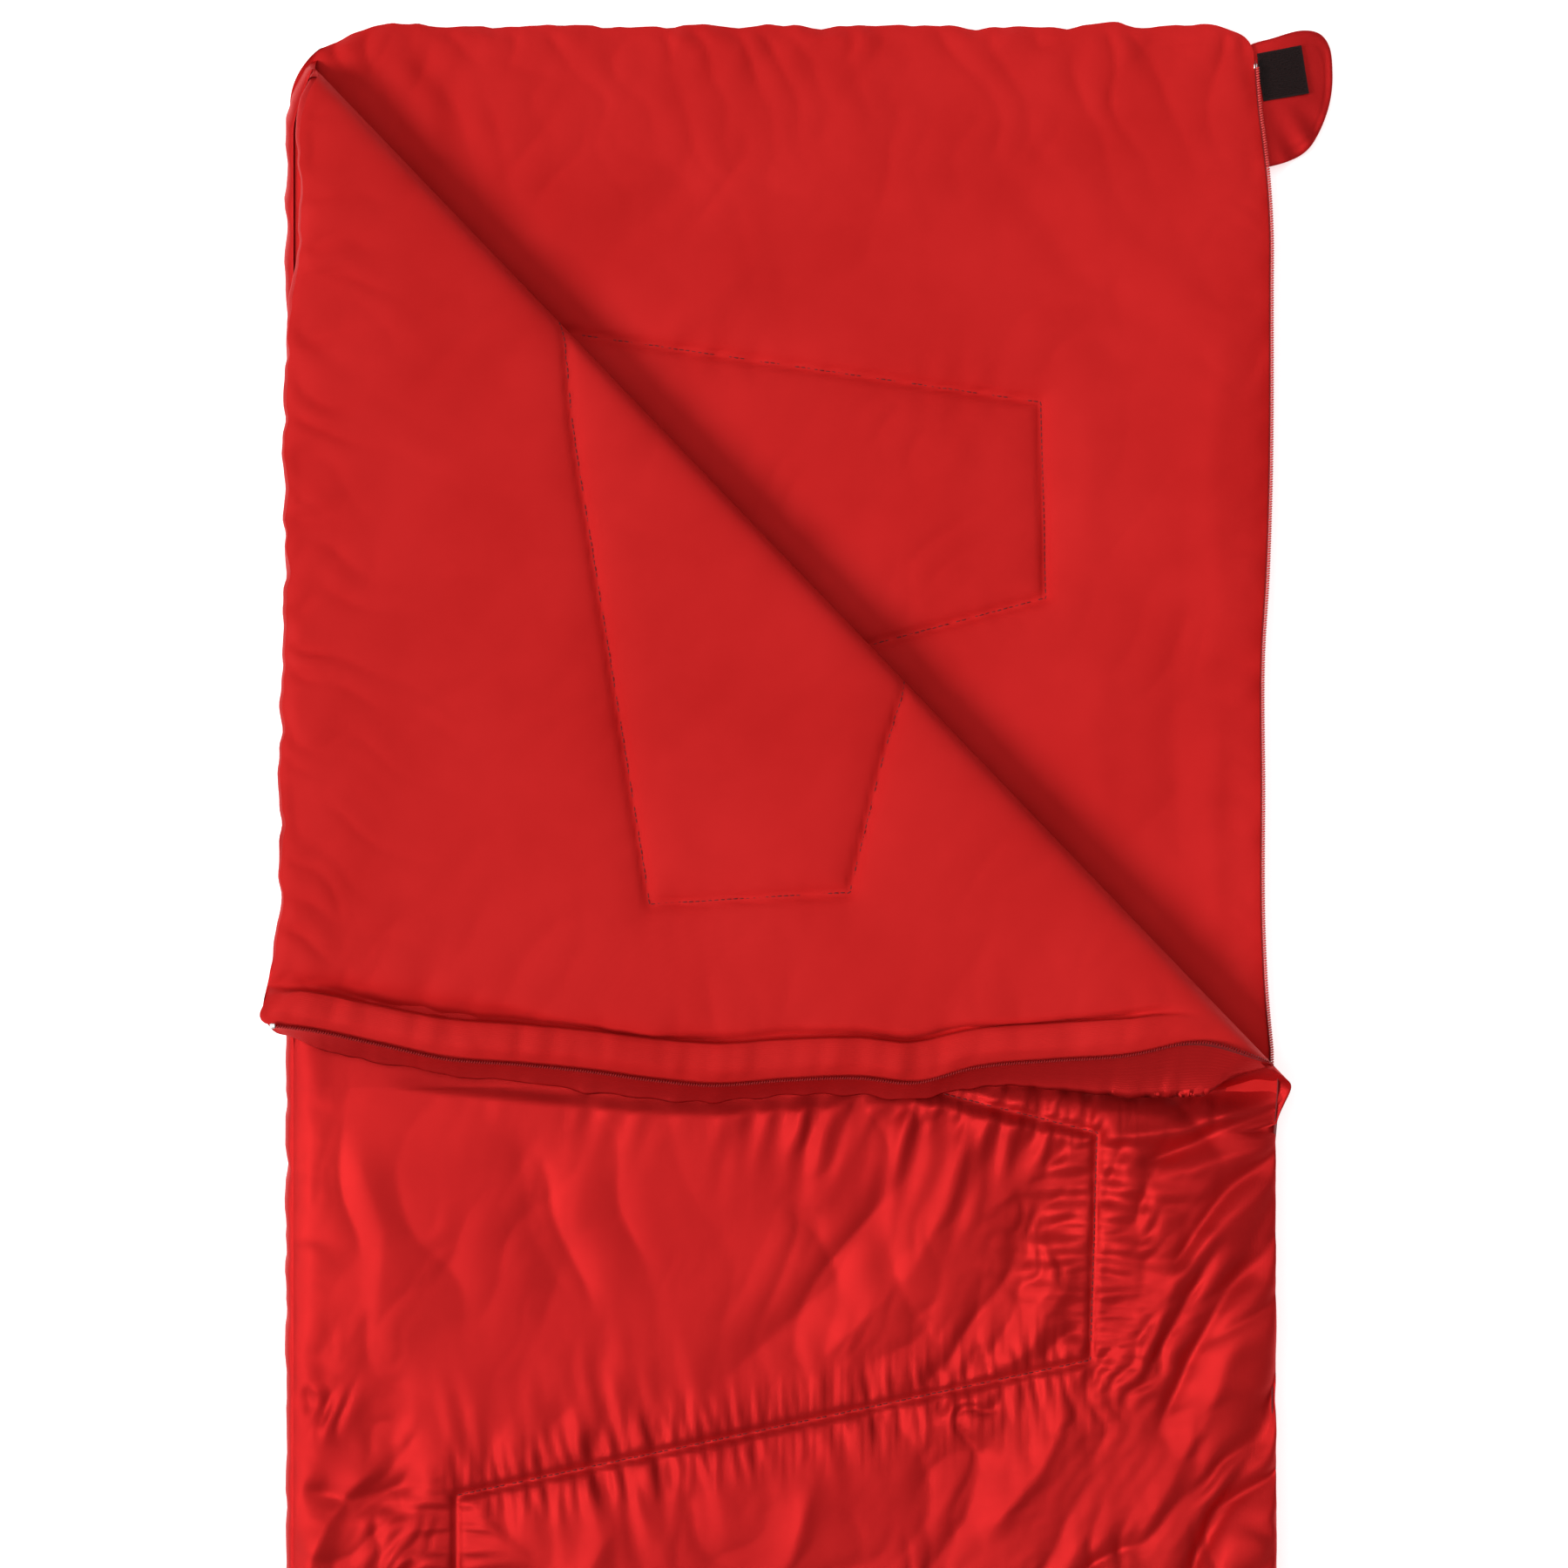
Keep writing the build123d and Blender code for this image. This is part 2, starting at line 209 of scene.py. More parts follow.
# %% Mesh makers
def grid_faces(rows, columns, flip=False):
    """The four corners of each cell of a grid, counted row by row."""
    index = np.arange(rows * columns).reshape(rows, columns)
    cell = [index[:-1, :-1], index[:-1, 1:], index[1:, 1:], index[1:, :-1]]
    faces = np.stack([c.ravel() for c in cell], axis=1)
    return faces[:, ::-1] if flip else faces


def new_mesh(name, points, faces, uv=None, smooth=True):
    """A mesh object from arrays of points and faces, with an optional UV for each point."""
    mesh = bpy.data.meshes.new(name)
    faces = np.asarray(faces, np.int32)
    mesh.vertices.add(len(points))
    mesh.vertices.foreach_set("co", np.asarray(points, np.float32).ravel())
    corners = faces.shape[1]
    mesh.loops.add(faces.size)
    mesh.loops.foreach_set("vertex_index", faces.ravel())
    mesh.polygons.add(len(faces))
    mesh.polygons.foreach_set("loop_start", np.arange(0, faces.size, corners, dtype=np.int32))
    mesh.polygons.foreach_set("use_smooth", np.full(len(faces), smooth))
    if uv is not None:
        layer = mesh.uv_layers.new(name="pattern")
        layer.data.foreach_set("uv", np.asarray(uv, np.float32)[faces.ravel()].ravel())
    mesh.update()
    mesh.validate()
    piece = bpy.data.objects.new(name, mesh)
    bpy.context.scene.collection.objects.link(piece)
    return piece


def sheet_mesh(name, points, pattern, flip=False):
    """A grid of points (rows, columns, 3) as a cloth, with its flat pattern as the UV map."""
    rows, columns = points.shape[:2]
    return new_mesh(name, points.reshape(-1, 3), grid_faces(rows, columns, flip),
                    pattern.reshape(-1, 2))


# %% [markdown]
# ## How cloth settles over wadding
# Cloth hardly stretches, so where it has a little more length than the space it is sewn into, it has to
# buckle. Wadding pushes it out to a soft shape, stitches hold it down, and the spare length then turns
# into puckers and folds. It could be drawn by hand, or with Blender's cloth modifier. Here the same idea
# is a short loop over whole arrays: each pair of neighbours is moved towards its proper distance, the
# sewn points are put back, and the wadding lifts the rest. Done first on a coarse grid and then on a
# fine one, it gives long folds and small puckers together.

# %% The settling loop
NEIGHBOURS = ((0, 1), (1, 0), (1, 1), (1, -1))


def pair(field, di, dj):
    """The two overlapping parts of a grid whose points are one step (di, dj) apart."""
    rows, columns = field.shape[:2]
    first = field[:rows - di, max(0, -dj):columns - max(0, dj)]
    second = field[di:, max(0, dj):columns + min(0, dj)]
    return first, second


def settle(flat, lift, sewn, spare, rounds, bend=0.12, loft=0.05, start=None):
    """Lets a grid of cloth buckle, and returns its points.

    flat is the sewn place of each point, lift the height that the wadding wants, sewn how firmly a
    point is held from 0 to 1, and spare (exx, eyy, exy) the share of extra cloth in each direction.
    A pair's proper length is its flat one times 1 + exx ux^2 + eyy uy^2 + 2 exy ux uy.
    """
    points = np.dstack([flat, lift]).astype(np.float32) if start is None else start.copy()
    home = np.dstack([flat, lift]).astype(np.float32)
    lengths = []
    for di, dj in NEIGHBOURS:
        a, b = pair(home[..., :2], di, dj)
        gap = b - a
        length = np.linalg.norm(gap, axis=-1)
        unit = gap / length[..., None]
        e = (pair(spare, di, dj)[0] + pair(spare, di, dj)[1]) / 2
        extra = e[..., 0] * unit[..., 0] ** 2 + e[..., 1] * unit[..., 1] ** 2
        shear = 2 * e[..., 2] * unit[..., 0] * unit[..., 1]
        lengths.append((length * (1 + extra + shear)).astype(np.float32))
    hold = sewn[..., None].astype(np.float32)
    free = 1 - sewn.astype(np.float32)
    for _ in range(rounds):
        shift = np.zeros_like(points)
        for (di, dj), length in zip(NEIGHBOURS, lengths):
            a, b = pair(points, di, dj)
            gap = b - a
            now = np.sqrt((gap * gap).sum(-1)) + 1e-9
            move = gap * (0.5 * (now - length) / now)[..., None]
            first, second = pair(shift, di, dj)
            first += move
            second -= move
        points += shift * 0.30
        z = points[..., 2]
        smooth = np.zeros_like(z)
        smooth[1:-1, 1:-1] = (z[:-2, 1:-1] + z[2:, 1:-1] + z[1:-1, :-2] + z[1:-1, 2:]) / 4 - z[1:-1, 1:-1]
        z += bend * smooth * free
        z += loft * (home[..., 2] - z) * free
        points[..., :2] += 0.02 * (home[..., :2] - points[..., :2])
        points += hold * (home - points)
    return points


def settle_in_steps(flat, lift, sewn, spare, seed_waves, rounds=(160, 120), coarse=3, bend=(0.1, 0.12),
                    loft=(0.03, 0.04)):
    """Settles a coarse copy of the cloth first, spreads its folds over the fine grid and goes on."""
    rows, columns = lift.shape
    pick_rows = np.unique(np.r_[np.arange(0, rows, coarse), rows - 1])
    pick_columns = np.unique(np.r_[np.arange(0, columns, coarse), columns - 1])
    cut = np.ix_(pick_rows, pick_columns)
    small = np.dstack([flat[cut], lift[cut] + seed_waves[cut]]).astype(np.float32)
    rough = settle(flat[cut], lift[cut], sewn[cut], spare[cut], rounds[0], bend[0], loft[0], small)
    gone = rough - np.dstack([flat[cut], lift[cut]])
    at = np.arange(columns)
    i = np.clip(np.searchsorted(pick_columns, at, side="right") - 1, 0, len(pick_columns) - 2)
    t = ((at - pick_columns[i]) / (pick_columns[i + 1] - pick_columns[i]))[None, :, None]
    wide = gone[:, i] * (1 - t) + gone[:, i + 1] * t
    at = np.arange(rows)
    j = np.clip(np.searchsorted(pick_rows, at, side="right") - 1, 0, len(pick_rows) - 2)
    t = ((at - pick_rows[j]) / (pick_rows[j + 1] - pick_rows[j]))[:, None, None]
    full = wide[j] * (1 - t) + wide[j + 1] * t
    full = np.dstack([flat, lift]) + full
    full[..., 2] += 0.35 * waves(flat[..., 0], flat[..., 1], 14 * MM, 5) * MM * (1 - sewn)
    return settle(flat, lift, sewn, spare, rounds[1], bend[1], loft[1], full.astype(np.float32))


# %% [markdown]
# ## The cutting plan
# Both layers are rectangles with round corners, and the quilting is one stepped row of stitches down
# each layer. The rows and edges are needed by every cloth, so they are laid out once, flat, as a
# cutter would chalk them.

# %% Outline and stitch rows
def round_corner(x, y, corner_x, corner_y, reach_x, reach_y):
    """Rounds one corner of a rectangle: in the corner's own box, u and v run from 0 to 1 outwards, and
    the point goes to u sqrt(1 - v^2/2), v sqrt(1 - u^2/2), which makes an ellipse of the box's edge."""
    side_x = math.copysign(1, corner_x)
    side_y = math.copysign(1, corner_y)
    base_x, base_y = corner_x - side_x * reach_x, corner_y - side_y * reach_y
    u = np.clip(side_x * (x - base_x) / reach_x, 0, None)
    v = np.clip(side_y * (y - base_y) / reach_y, 0, None)
    inside = (u > 0) & (v > 0)
    cu, cv = np.minimum(u, 1), np.minimum(v, 1)
    nx = base_x + side_x * reach_x * u * np.sqrt(1 - cv * cv / 2)
    ny = base_y + side_y * reach_y * v * np.sqrt(1 - cu * cu / 2)
    return np.where(inside, nx, x), np.where(inside, ny, y)


# How far the bottom layer's zip edge lies out of line, in mm, at some heights along Y, in mm.
zip_wander = [(115, 0), (160, -4), (200, -6), (320, -6.5), (420, -6.5), (480, -3), (540, -1), (700, 0),
              (740, 0), (789, -3), (811, -5.5), (834, -8.5), (865, -11), (900, -12)]


def bag_outline(x, y, head):
    """The flat rectangle with its four corners rounded, largest at the fold's head end.

    The head edge is a little ragged, and the zip edge of the bottom layer wanders.
    """
    x, y = round_corner(x, y, left_x, head, 78 * MM, 62 * MM)
    reach = 24 * MM if head == head_y else 9 * MM
    x, y = round_corner(x, y, right_x, head, reach, reach)
    ragged = 1.5 * waves(x, 0 * x, 58 * MM, 21) + 0.8 * waves(x, 0 * x, 21 * MM, 22)
    y = y + ragged * MM * soft_step((y - head) / (30 * MM) + 1)
    x = x + curve_at(y / MM, zip_wander) * MM * soft_step((x - 200 * MM) / (175 * MM)) * (head == head_y)
    x, y = round_corner(x, y, right_x, foot_y, 40 * MM, 40 * MM)
    return round_corner(x, y, left_x, foot_y, 16 * MM, 16 * MM)


BOTTOM_ROW = [(-245, 677), (200, 612), (204, 462), (63, 424), (-245, 341), (-245, 183), (200, 78), (200, -80),
              (-245, -185), (-245, -343), (200, -448), (200, -606), (-245, -711), (-245, -871)]
TOP_ROW = [(-245, 687), (-162, 670), (268, 583), (255, 432), (105, 401), (-245, 328), (-245, 176),
           (110, 87), (241, 54), (236, -119), (-246, -222), (-246, -385), (245, -488), (245, -651),
           (-245, -754), (-245, -871)]
bottom_row = [(a * MM, b * MM) for a, b in BOTTOM_ROW]
top_row = [(a * MM, b * MM) for a, b in TOP_ROW]
print("stitch rows:", len(bottom_row), "and", len(top_row), "corners")


def flat_grid(x0, x1, y0, y1, step):
    """A regular grid of X and Y, rows along Y, with cells of about the given size."""
    columns = int(round((x1 - x0) / step)) + 1
    rows = int(round((y1 - y0) / step)) + 1
    return np.meshgrid(np.linspace(x0, x1, columns), np.linspace(y0, y1, rows))


def pillow(d, width):
    """How far a quilt has risen at distance d from a sewn edge, from 0 to 1: a quarter ellipse."""
    t = 1 - np.clip(d / width, 0, 1)
    return np.sqrt(1 - t * t)


def spare_cloth(shape, even, lines):
    """The extra cloth as (exx, eyy, exy): an even share, and more along each line of stitches.

    Each line gives (distance, heading, share, reach), and its share fades as a bell over its reach.
    """
    spare = np.zeros(shape + (3,))
    spare[..., 0] += even
    spare[..., 1] += even
    for d, heading, share, reach in lines:
        e = share * np.exp(-((d / reach) ** 2))
        spare[..., 0] += e * np.cos(heading) ** 2
        spare[..., 1] += e * np.sin(heading) ** 2
        spare[..., 2] += e * np.cos(heading) * np.sin(heading)
    return spare


# %% [markdown]
# ## Settling the two linings and the shell
# The lining is a matt, soft cloth with hardly any spare length, so it lies in long easy waves with fine
# puckers beside the stitches. The shell is a slippery satin with more spare length, and it gathers into
# folds. Each is settled flat, as heights above its own sewn edge, before anything is turned over.

# %% Settle one cloth of a quilt
def gathers(along, away, wanted, seed):
    """Puckers across a seam: for each (length, reach, height), waves along the seam, none on the seam
    itself, strongest a few millimetres away, and gone past their reach."""
    total = np.zeros_like(away)
    for k, (length, reach, height) in enumerate(wanted):
        swell = (1 - np.exp(-away / (5 * MM))) * np.exp(-((away / (reach * MM)) ** 2))
        lively = 0.55 + 0.45 * waves(along, 0 * along, 140 * MM, seed + 10 + k)
        total += height * MM * swell * lively * waves(along, 0.25 * away, length * MM, seed + k)
    return total


def quilt_cloth(head, row, levels, step, even, shares, seed, wave, row_gathers, edge_gathers, more_lift=None,
                slant=None, rounds=(160, 120), bend=(0.08, 0.06), loft=(0.02, 0.012), top_lift=4 * MM):
    """Returns the flat grid and the settled (x, y, rise) of one cloth, on a grid of the whole rectangle.

    levels are its rise on the open quilt, on the stitch row and at the closed side, and the width over
    which an edge is pinched. The rise wanted is that of a pillow, less a narrow valley along the row.
    """
    open_rise, row_rise, left_rise, edge_width = (level * MM for level in levels)
    u, v = flat_grid(left_x, right_x, foot_y, head, step)
    x, y = bag_outline(u, v, head)
    upright = right_x - u
    sides = np.minimum(np.minimum(upright, head - v), v - foot_y)
    left_gap = u - left_x
    inside = np.minimum(sides, left_gap)
    d, heading, share = near_line(u, v, row)
    run = sum(math.dist(a, b) for a, b in zip(row, row[1:]))
    edge = pillow(sides, edge_width)
    rise = open_rise * edge - (open_rise - row_rise) * edge * (1 - pillow(d, 34 * MM))
    rise += gathers(share * run, d, row_gathers, seed + 100) * edge
    on_upright = np.minimum(upright, left_gap) < np.minimum(head - v, v - foot_y)
    rise += gathers(np.where(on_upright, v, u) + 0.3 * inside, inside, edge_gathers, seed + 200)
    if more_lift is not None:
        rise = rise + more_lift(u, v)
    rise += (left_rise - rise) * (1 - pillow(left_gap, 18 * MM))
    sewn = np.maximum(np.exp(-(inside / (1.2 * MM)) ** 2), 0.9 * np.exp(-(d / (0.6 * step)) ** 2)
                      * (inside > 20 * MM))
    edge_heading = np.where(on_upright, np.pi / 2, 0.0)
    lines = [(d, heading, shares[0], shares[1] * MM), (inside, edge_heading, shares[2], shares[3] * MM)]
    spare = spare_cloth(u.shape, even, lines)
    if slant is not None:
        more, angle = slant(u, v)
        spare[..., 0] += more * np.cos(angle) ** 2
        spare[..., 1] += more * np.sin(angle) ** 2
        spare[..., 2] += more * np.cos(angle) * np.sin(angle)
    free = 1 - np.exp(-(np.minimum(inside, d) / (12 * MM)) ** 2)
    settled = settle_in_steps(np.dstack([x, y]), rise, sewn, spare, wave(u, v) * free, rounds,
                              bend=bend, loft=loft)
    over = np.clip(settled[..., 2] - (rise + top_lift), 0, None)
    settled[..., 2] -= over * 0.7
    return np.dstack([u, v]), settled


def lining_waves(seed):
    """Long easy waves with a little fine crumple on top."""
    return lambda x, y: (1.5 * waves(x, y, 150 * MM, seed) + 1.1 * waves(x, y, 55 * MM, seed + 1, 50, 0.5)
                         + 0.5 * waves(x, y, 24 * MM, seed + 2)) * MM


lining_step, shell_step, lining_rounds, shell_rounds = 4.2 * MM, 3.3 * MM, (200, 160), (240, 220)
LINING_LEVELS = (4.5, -3.0, 7, 40)
SHELL_LEVELS = (16.5, 10.5, 9.5, 46)


def lining_folds(u, v, row, head, near_head, near_zip, seed):
    """A furrow on the stitches, and creases that gather towards the sewn edges and fade inwards."""
    d, _, _ = near_line(u, v, row)
    gap_zip, gap_head, gap_side = right_x - u, head - v, u - left_x
    inside = np.minimum(np.minimum(gap_zip, gap_side), np.minimum(gap_head, v - foot_y))
    free = (1 - np.exp(-((d / (8 * MM)) ** 2))) * soft_step(inside / (12 * MM))
    by_head = near_head * np.exp(-gap_head / (60 * MM))
    by_head = by_head * creased(u + 0.35 * v, v, 30 * MM, seed, 80, 0.3, 0.25)
    by_zip = near_zip * np.exp(-gap_zip / (55 * MM)) * creased(u, v, 30 * MM, seed + 1, 5, 0.35, 0.25)
    patchy = soft_step(0.2 + 0.9 * waves(u, v, 170 * MM, seed + 2))
    quiet = (0.25 + 1.1 * patchy) * creased(u, v, 46 * MM, seed + 3, 48, 0.35, 0.25)
    furrow = -2.6 * np.exp(-((d / (3.4 * MM)) ** 2)) * soft_step(inside / (30 * MM))
    return (free * (by_head + by_zip + quiet) + furrow) * MM


def bed_lift(u, v):
    """Chosen soft folds in the lining of the bed, each a bell across a line."""
    lift = np.zeros_like(u)
    strokes = [
        ([(-300, 880), (-268, 835), (-262, 790)], 9, 3), ([(-285, 885), (-258, 862), (-240, 800)], 8, -3),
        ([(-330, 870), (-300, 840), (-285, 800)], 7, -3), ([(-210, 720), (-150, 760), (-70, 800)], 13, 2.5),
        ([(-190, 700), (-120, 735), (-40, 800)], 11, -2.5), ([(-120, 640), (-60, 680), (0, 740)], 12, 2),
        ([(20, 880), (60, 830), (50, 770)], 14, 2), ([(200, 820), (250, 740), (330, 690)], 18, 2.5),
        ([(170, 800), (225, 715), (300, 660)], 14, -2), ([(345, 700), (330, 560), (345, 420)], 12, 2.5),
        ([(318, 480), (305, 360), (315, 240)], 13, -3), ([(345, 400), (338, 300), (345, 190)], 10, 2.5),
        ([(150, 600), (120, 540), (70, 480)], 12, 1.8), ([(100, 560), (60, 520), (10, 500)], 10, -1.8),
        ([(230, 610), (238, 560), (232, 480)], 12, 2), ([(260, 440), (240, 360), (255, 280)], 16, 2)]
    for line, width, height in strokes:
        lift += crease(u, v, [(a * MM, b * MM) for a, b in line], width * MM, height * MM, 1.35)
    shade = soft_step((u - 200 * MM) / (160 * MM)) * soft_step((560 * MM - v) / (300 * MM))
    return lift - 4 * MM * shade * soft_step((right_x - u) / (30 * MM))


_, under_field = quilt_cloth(head_y, bottom_row, LINING_LEVELS, lining_step, 0.004, (0.05, 17, 0.05, 22),
                             11, lining_waves(3), [(22, 30, 1.3), (10, 12, 0.6)],
                             [(34, 46, 2.0), (15, 20, 1.1)], more_lift=bed_lift, rounds=lining_rounds)
print("bottom lining settled:", under_field.shape,
      "rise", under_field[..., 2].min(), under_field[..., 2].max())


# %% [markdown]
# The lining of the top layer carries the turned-back corner. Beside the zip its edge is a soft round
# lip with a hollow behind it, because the stiff zip tape holds the edge up and the wadding ends there.

# %% Settle the top lining
def lip_lift(u, v):
    """A groove behind the lip, deeper where the hem hangs free, and soft hollows above it."""
    d = right_x - u
    s = fold_side(u, v)
    folded_x = u - 2 * s * fold_out[0]
    on_corner = soft_step((s - 20 * MM) / (60 * MM))
    depth = curve_at(folded_x / MM, [(-400, 5), (-372, 8), (-350, 14), (-300, 21), (-250, 21), (-205, 18),
                                     (-170, 12), (-128, 15), (-95, 11), (-60, 14), (-20, 10), (60, 11),
                                     (110, 14), (160, 12), (240, 13), (330, 9), (380, 4)])
    across = d - (28 * MM + 2.0 * MM * waves(folded_x, 0 * folded_x, 90 * MM, 91))
    reach = curve_at(folded_x / MM, [(-400, 12), (-300, 15), (-220, 12), (-160, 6), (-128, 8), (-95, 5.5),
                                     (-60, 7), (0, 5), (380, 5)]) * MM
    core = curve_at(folded_x / MM, [(-400, 5), (-345, 9), (-290, 11), (-220, 8), (-190, 5), (380, 4)]) * MM
    far = 0.5 * np.exp(-((np.abs(across) / reach) ** 1.25)) + 0.5 * np.exp(-((across / core) ** 2))
    groove = depth * MM * np.where(across > 0, far, np.exp(-((across / (3.6 * MM)) ** 2)))
    lip = 6.0 * MM * np.exp(-(((d - 13 * MM) / (9 * MM)) ** 2))
    lip *= 1 + 0.10 * waves(folded_x, d, 45 * MM, 92)
    return on_corner * (lip - groove)


_, upper_field = quilt_cloth(top_head_y, top_row, LINING_LEVELS, lining_step, 0.004, (0.04, 15, 0.07, 34),
                             12, lining_waves(8), [(24, 26, 1.0), (10, 10, 0.5)],
                             [(40, 60, 2.2), (17, 30, 1.5)], rounds=lining_rounds)
print("top lining settled:", upper_field.shape, "rise", upper_field[..., 2].min(), upper_field[..., 2].max())


# %% [markdown]
# The satin shell of the top layer shows the largest folds. The wadding is pushed up into a ridge below
# the mouth of the bag, with a hollow behind it, and slack cloth runs down from the mouth in slanting
# folds on the zip side. Their places are listed, and the settling makes the rest.

# %% Settle the top shell
def mouth_lift(u, v):
    """Chosen ridges (+) and hollows (-) in the satin, each a bell across a line."""
    lift = np.zeros_like(u)
    strokes = [
        ([(205, 96), (240, 89), (300, 84), (345, 84), (395, 90)], 10, -17),
        ([(120, 96), (180, 92), (250, 86)], 9, -7),
        ([(60, 86), (145, 69), (189, 57), (224, 50), (250, 50), (311, 57), (390, 88)], 8, 6),
        ([(255, 22), (310, 44), (385, 80)], 9, -8), ([(240, 5), (300, 22), (378, 50)], 13, 5),
        ([(378, 40), (300, -60), (255, -170)], 10, 4), ([(372, -10), (318, -105), (280, -190)], 8, -8),
        ([(355, -60), (330, -150), (262, -275)], 11, 4), ([(376, -90), (352, -190), (300, -300)], 8, -8),
        ([(375, 55), (335, 5), (290, -60)], 6, -6), ([(340, -20), (300, -90), (268, -150)], 6, -5),
        ([(210, 30), (170, -60), (120, -120)], 13, -4), ([(232, -20), (190, -110), (90, -190)], 14, 4),
        ([(150, 40), (100, -50), (20, -130)], 17, 3.5), ([(90, 30), (40, -60), (-60, -150)], 18, -3.5),
        ([(225, -140), (200, -200), (150, -260)], 12, 5), ([(160, -170), (140, -240), (100, -300)], 12, -4),
        ([(-300, -190), (-345, -240), (-372, -300)], 14, 5),
        ([(-262, -210), (-330, -225), (-374, -215)], 12, -5),
        ([(-120, -230), (-150, -290), (-230, -350)], 15, 4), ([(30, -190), (10, -270), (-40, -340)], 14, 4),
        ([(-330, 60), (-300, -20), (-310, -120)], 22, 2.5),
        ([(-200, 70), (-190, -20), (-150, -90)], 20, -2.5)]
    for line, width, height in strokes:
        lift += crease(u, v, [(a * MM, b * MM) for a, b in line], width * MM, height * MM, 1.35)
    return lift


def slack_share(u, v):
    """More spare cloth on the zip side, at right angles to the slanting folds."""
    right = soft_step((u + 60 * MM) / (320 * MM))
    return 0.008 + 0.028 * right, np.radians(-32) + 0 * u


def satin_folds(u, v):
    """The chosen folds and a finer creasing, both flat on the stitches and at the edges."""
    d, _, _ = near_line(u, v, top_row)
    inside = np.minimum(np.minimum(right_x - u, u - left_x), np.minimum(top_head_y - v, v - foot_y))
    free = (1 - np.exp(-((d / (9 * MM)) ** 2))) * soft_step(inside / (14 * MM))
    right = soft_step((u + 60 * MM) / (300 * MM))
    low_left = soft_step((-150 * MM - u) / (120 * MM)) * soft_step((-100 * MM - v) / (120 * MM))
    patchy = soft_step(0.5 + 0.8 * waves(u, v, 190 * MM, 38))
    lively = (0.10 + 0.95 * right + 0.75 * low_left) * (0.35 + 0.9 * patchy)
    spots = soft_step(0.40 + 0.9 * waves(u, v, 120 * MM, 39, 60, 0.6))
    fine = 5.0 * creased(u, v, 46 * MM, 35, 58, 0.20, 0.3) * lively
    fine += 3.0 * creased(u, v, 20 * MM, 36, 64, 0.30, 0.3) * lively * spots
    fine += 2.2 * creased(u, v, 64 * MM, 37, 112, 0.5, 0.3) * (0.2 + 0.9 * patchy)
    furrow = -2.4 * np.exp(-((d / (3.2 * MM)) ** 2)) * soft_step(inside / (30 * MM))
    return (free * fine + furrow) * MM + (0.15 + 0.85 * free) * mouth_lift(u, v)


def satin_waves(u, v):
    """Slanting folds that grow towards the zip side, over a soft crumple."""
    right = soft_step((u + 100 * MM) / (350 * MM))
    return (3.2 * right * waves(u, v, 52 * MM, 31, 58, 0.22) + 1.4 * waves(u, v, 70 * MM, 32, 70, 0.5)
            + 0.8 * waves(u, v, 26 * MM, 33, 65, 0.4)) * MM


_, satin_field = quilt_cloth(top_head_y, top_row, SHELL_LEVELS, shell_step, 0.012, (0.12, 28, 0.05, 22),
                             13, satin_waves, [(21, 62, 3.2), (11, 20, 1.8)], [(34, 34, 2.0), (14, 18, 1.2)],
                             slant=slack_share, rounds=shell_rounds, bend=(0.04, 0.03))
print("top shell settled:", satin_field.shape, "rise", satin_field[..., 2].min(), satin_field[..., 2].max())
ground_step = 7 * MM
ground_uv, ground_field = quilt_cloth(head_y, bottom_row, SHELL_LEVELS, ground_step, 0.008, (0.06, 24, 0.05, 22),
                                      14, lambda u, v: 1.2 * MM * waves(u, v, 60 * MM, 41), [(24, 40, 2.0)],
                                      [(45, 50, 2.0)], rounds=(60, 40))
ground_field[..., 2] = np.minimum(ground_field[..., 2], 16.5 * MM)


# %% [markdown]
# The settled grids give the soft shapes. The sharp things, such as the furrow of a seam or the crisp
# side of a fold, are added as formulas when a point is looked up, so a piece can take as fine a grid as
# it needs.

# %% Look-ups for the three cloths
def bed_lining(u, v):
    """x, y and rise of the bottom lining at any place of its cutting pattern."""
    at = read_grid(under_field, u, v, (left_x, right_x, foot_y, head_y)).astype(float)
    at[..., 2] += lining_folds(u, v, bottom_row, head_y, 3.4, 1.2, 301)
    return at


def top_lining(u, v):
    """x, y and rise of the top lining, with the lip along its zip edge."""
    at = read_grid(upper_field, u, v, (left_x, right_x, foot_y, top_head_y)).astype(float)
    at[..., 2] += lining_folds(u, v, top_row, top_head_y, 3.8, 1.8, 311) + lip_lift(u, v)
    # The lip leans over the groove behind it.
    lean = 7.5 * MM * np.exp(-(((right_x - u - 19.5 * MM) / (4.8 * MM)) ** 2))
    lean = lean * soft_step((fold_side(u, v) - 20 * MM) / (60 * MM))
    at[..., 0] -= lean * soft_step((top_head_y - v) / (30 * MM))
    return at


def top_satin(u, v):
    """x, y and rise of the top shell."""
    at = read_grid(satin_field, u, v, (left_x, right_x, foot_y, top_head_y)).astype(float)
    at[..., 2] += satin_folds(u, v)
    return at


# %% [markdown]
# ## Turning the corner back
# A quilt cannot be creased like paper. Its inner cloth goes round the outside of the turn, and its
# outer cloth is pressed double inside it. One rule places every point of the top layer: the deeper a
# point lies below the hinge line, the wider the curve it takes round it. The same rule serves the
# cloths, the wadding, the zip and the stitches, so they stay together.

# %% The rule for the turn, and the hem that wanders
hem_sway = [(-400, 4), (-356, 1), (-303, -8), (-251, -17), (-198, -19), (-146, -22), (-94, -27), (-54, -29),
            (3, -23), (60, -19), (101, -21), (145, -8), (204, 0), (262, 6), (306, 15), (335, 18), (368, 11),
            (385, 4)]
fold_wander = [(-560, 7), (-505, 8), (-398, 4), (-285, 1.5), (-240, 2), (-79, 0.5), (0, 2), (94, 1.5),
               (175, 1), (235, 0.5), (300, 2), (343, 3), (487, 3), (560, 3)]
edge_sway = [(130, -4), (160, -10), (180, -12), (200, -13), (260, -16), (319, -10), (420, -11), (518, -8),
             (598, -4), (650, -3.5), (717, -9), (800, -8), (870, -2)]


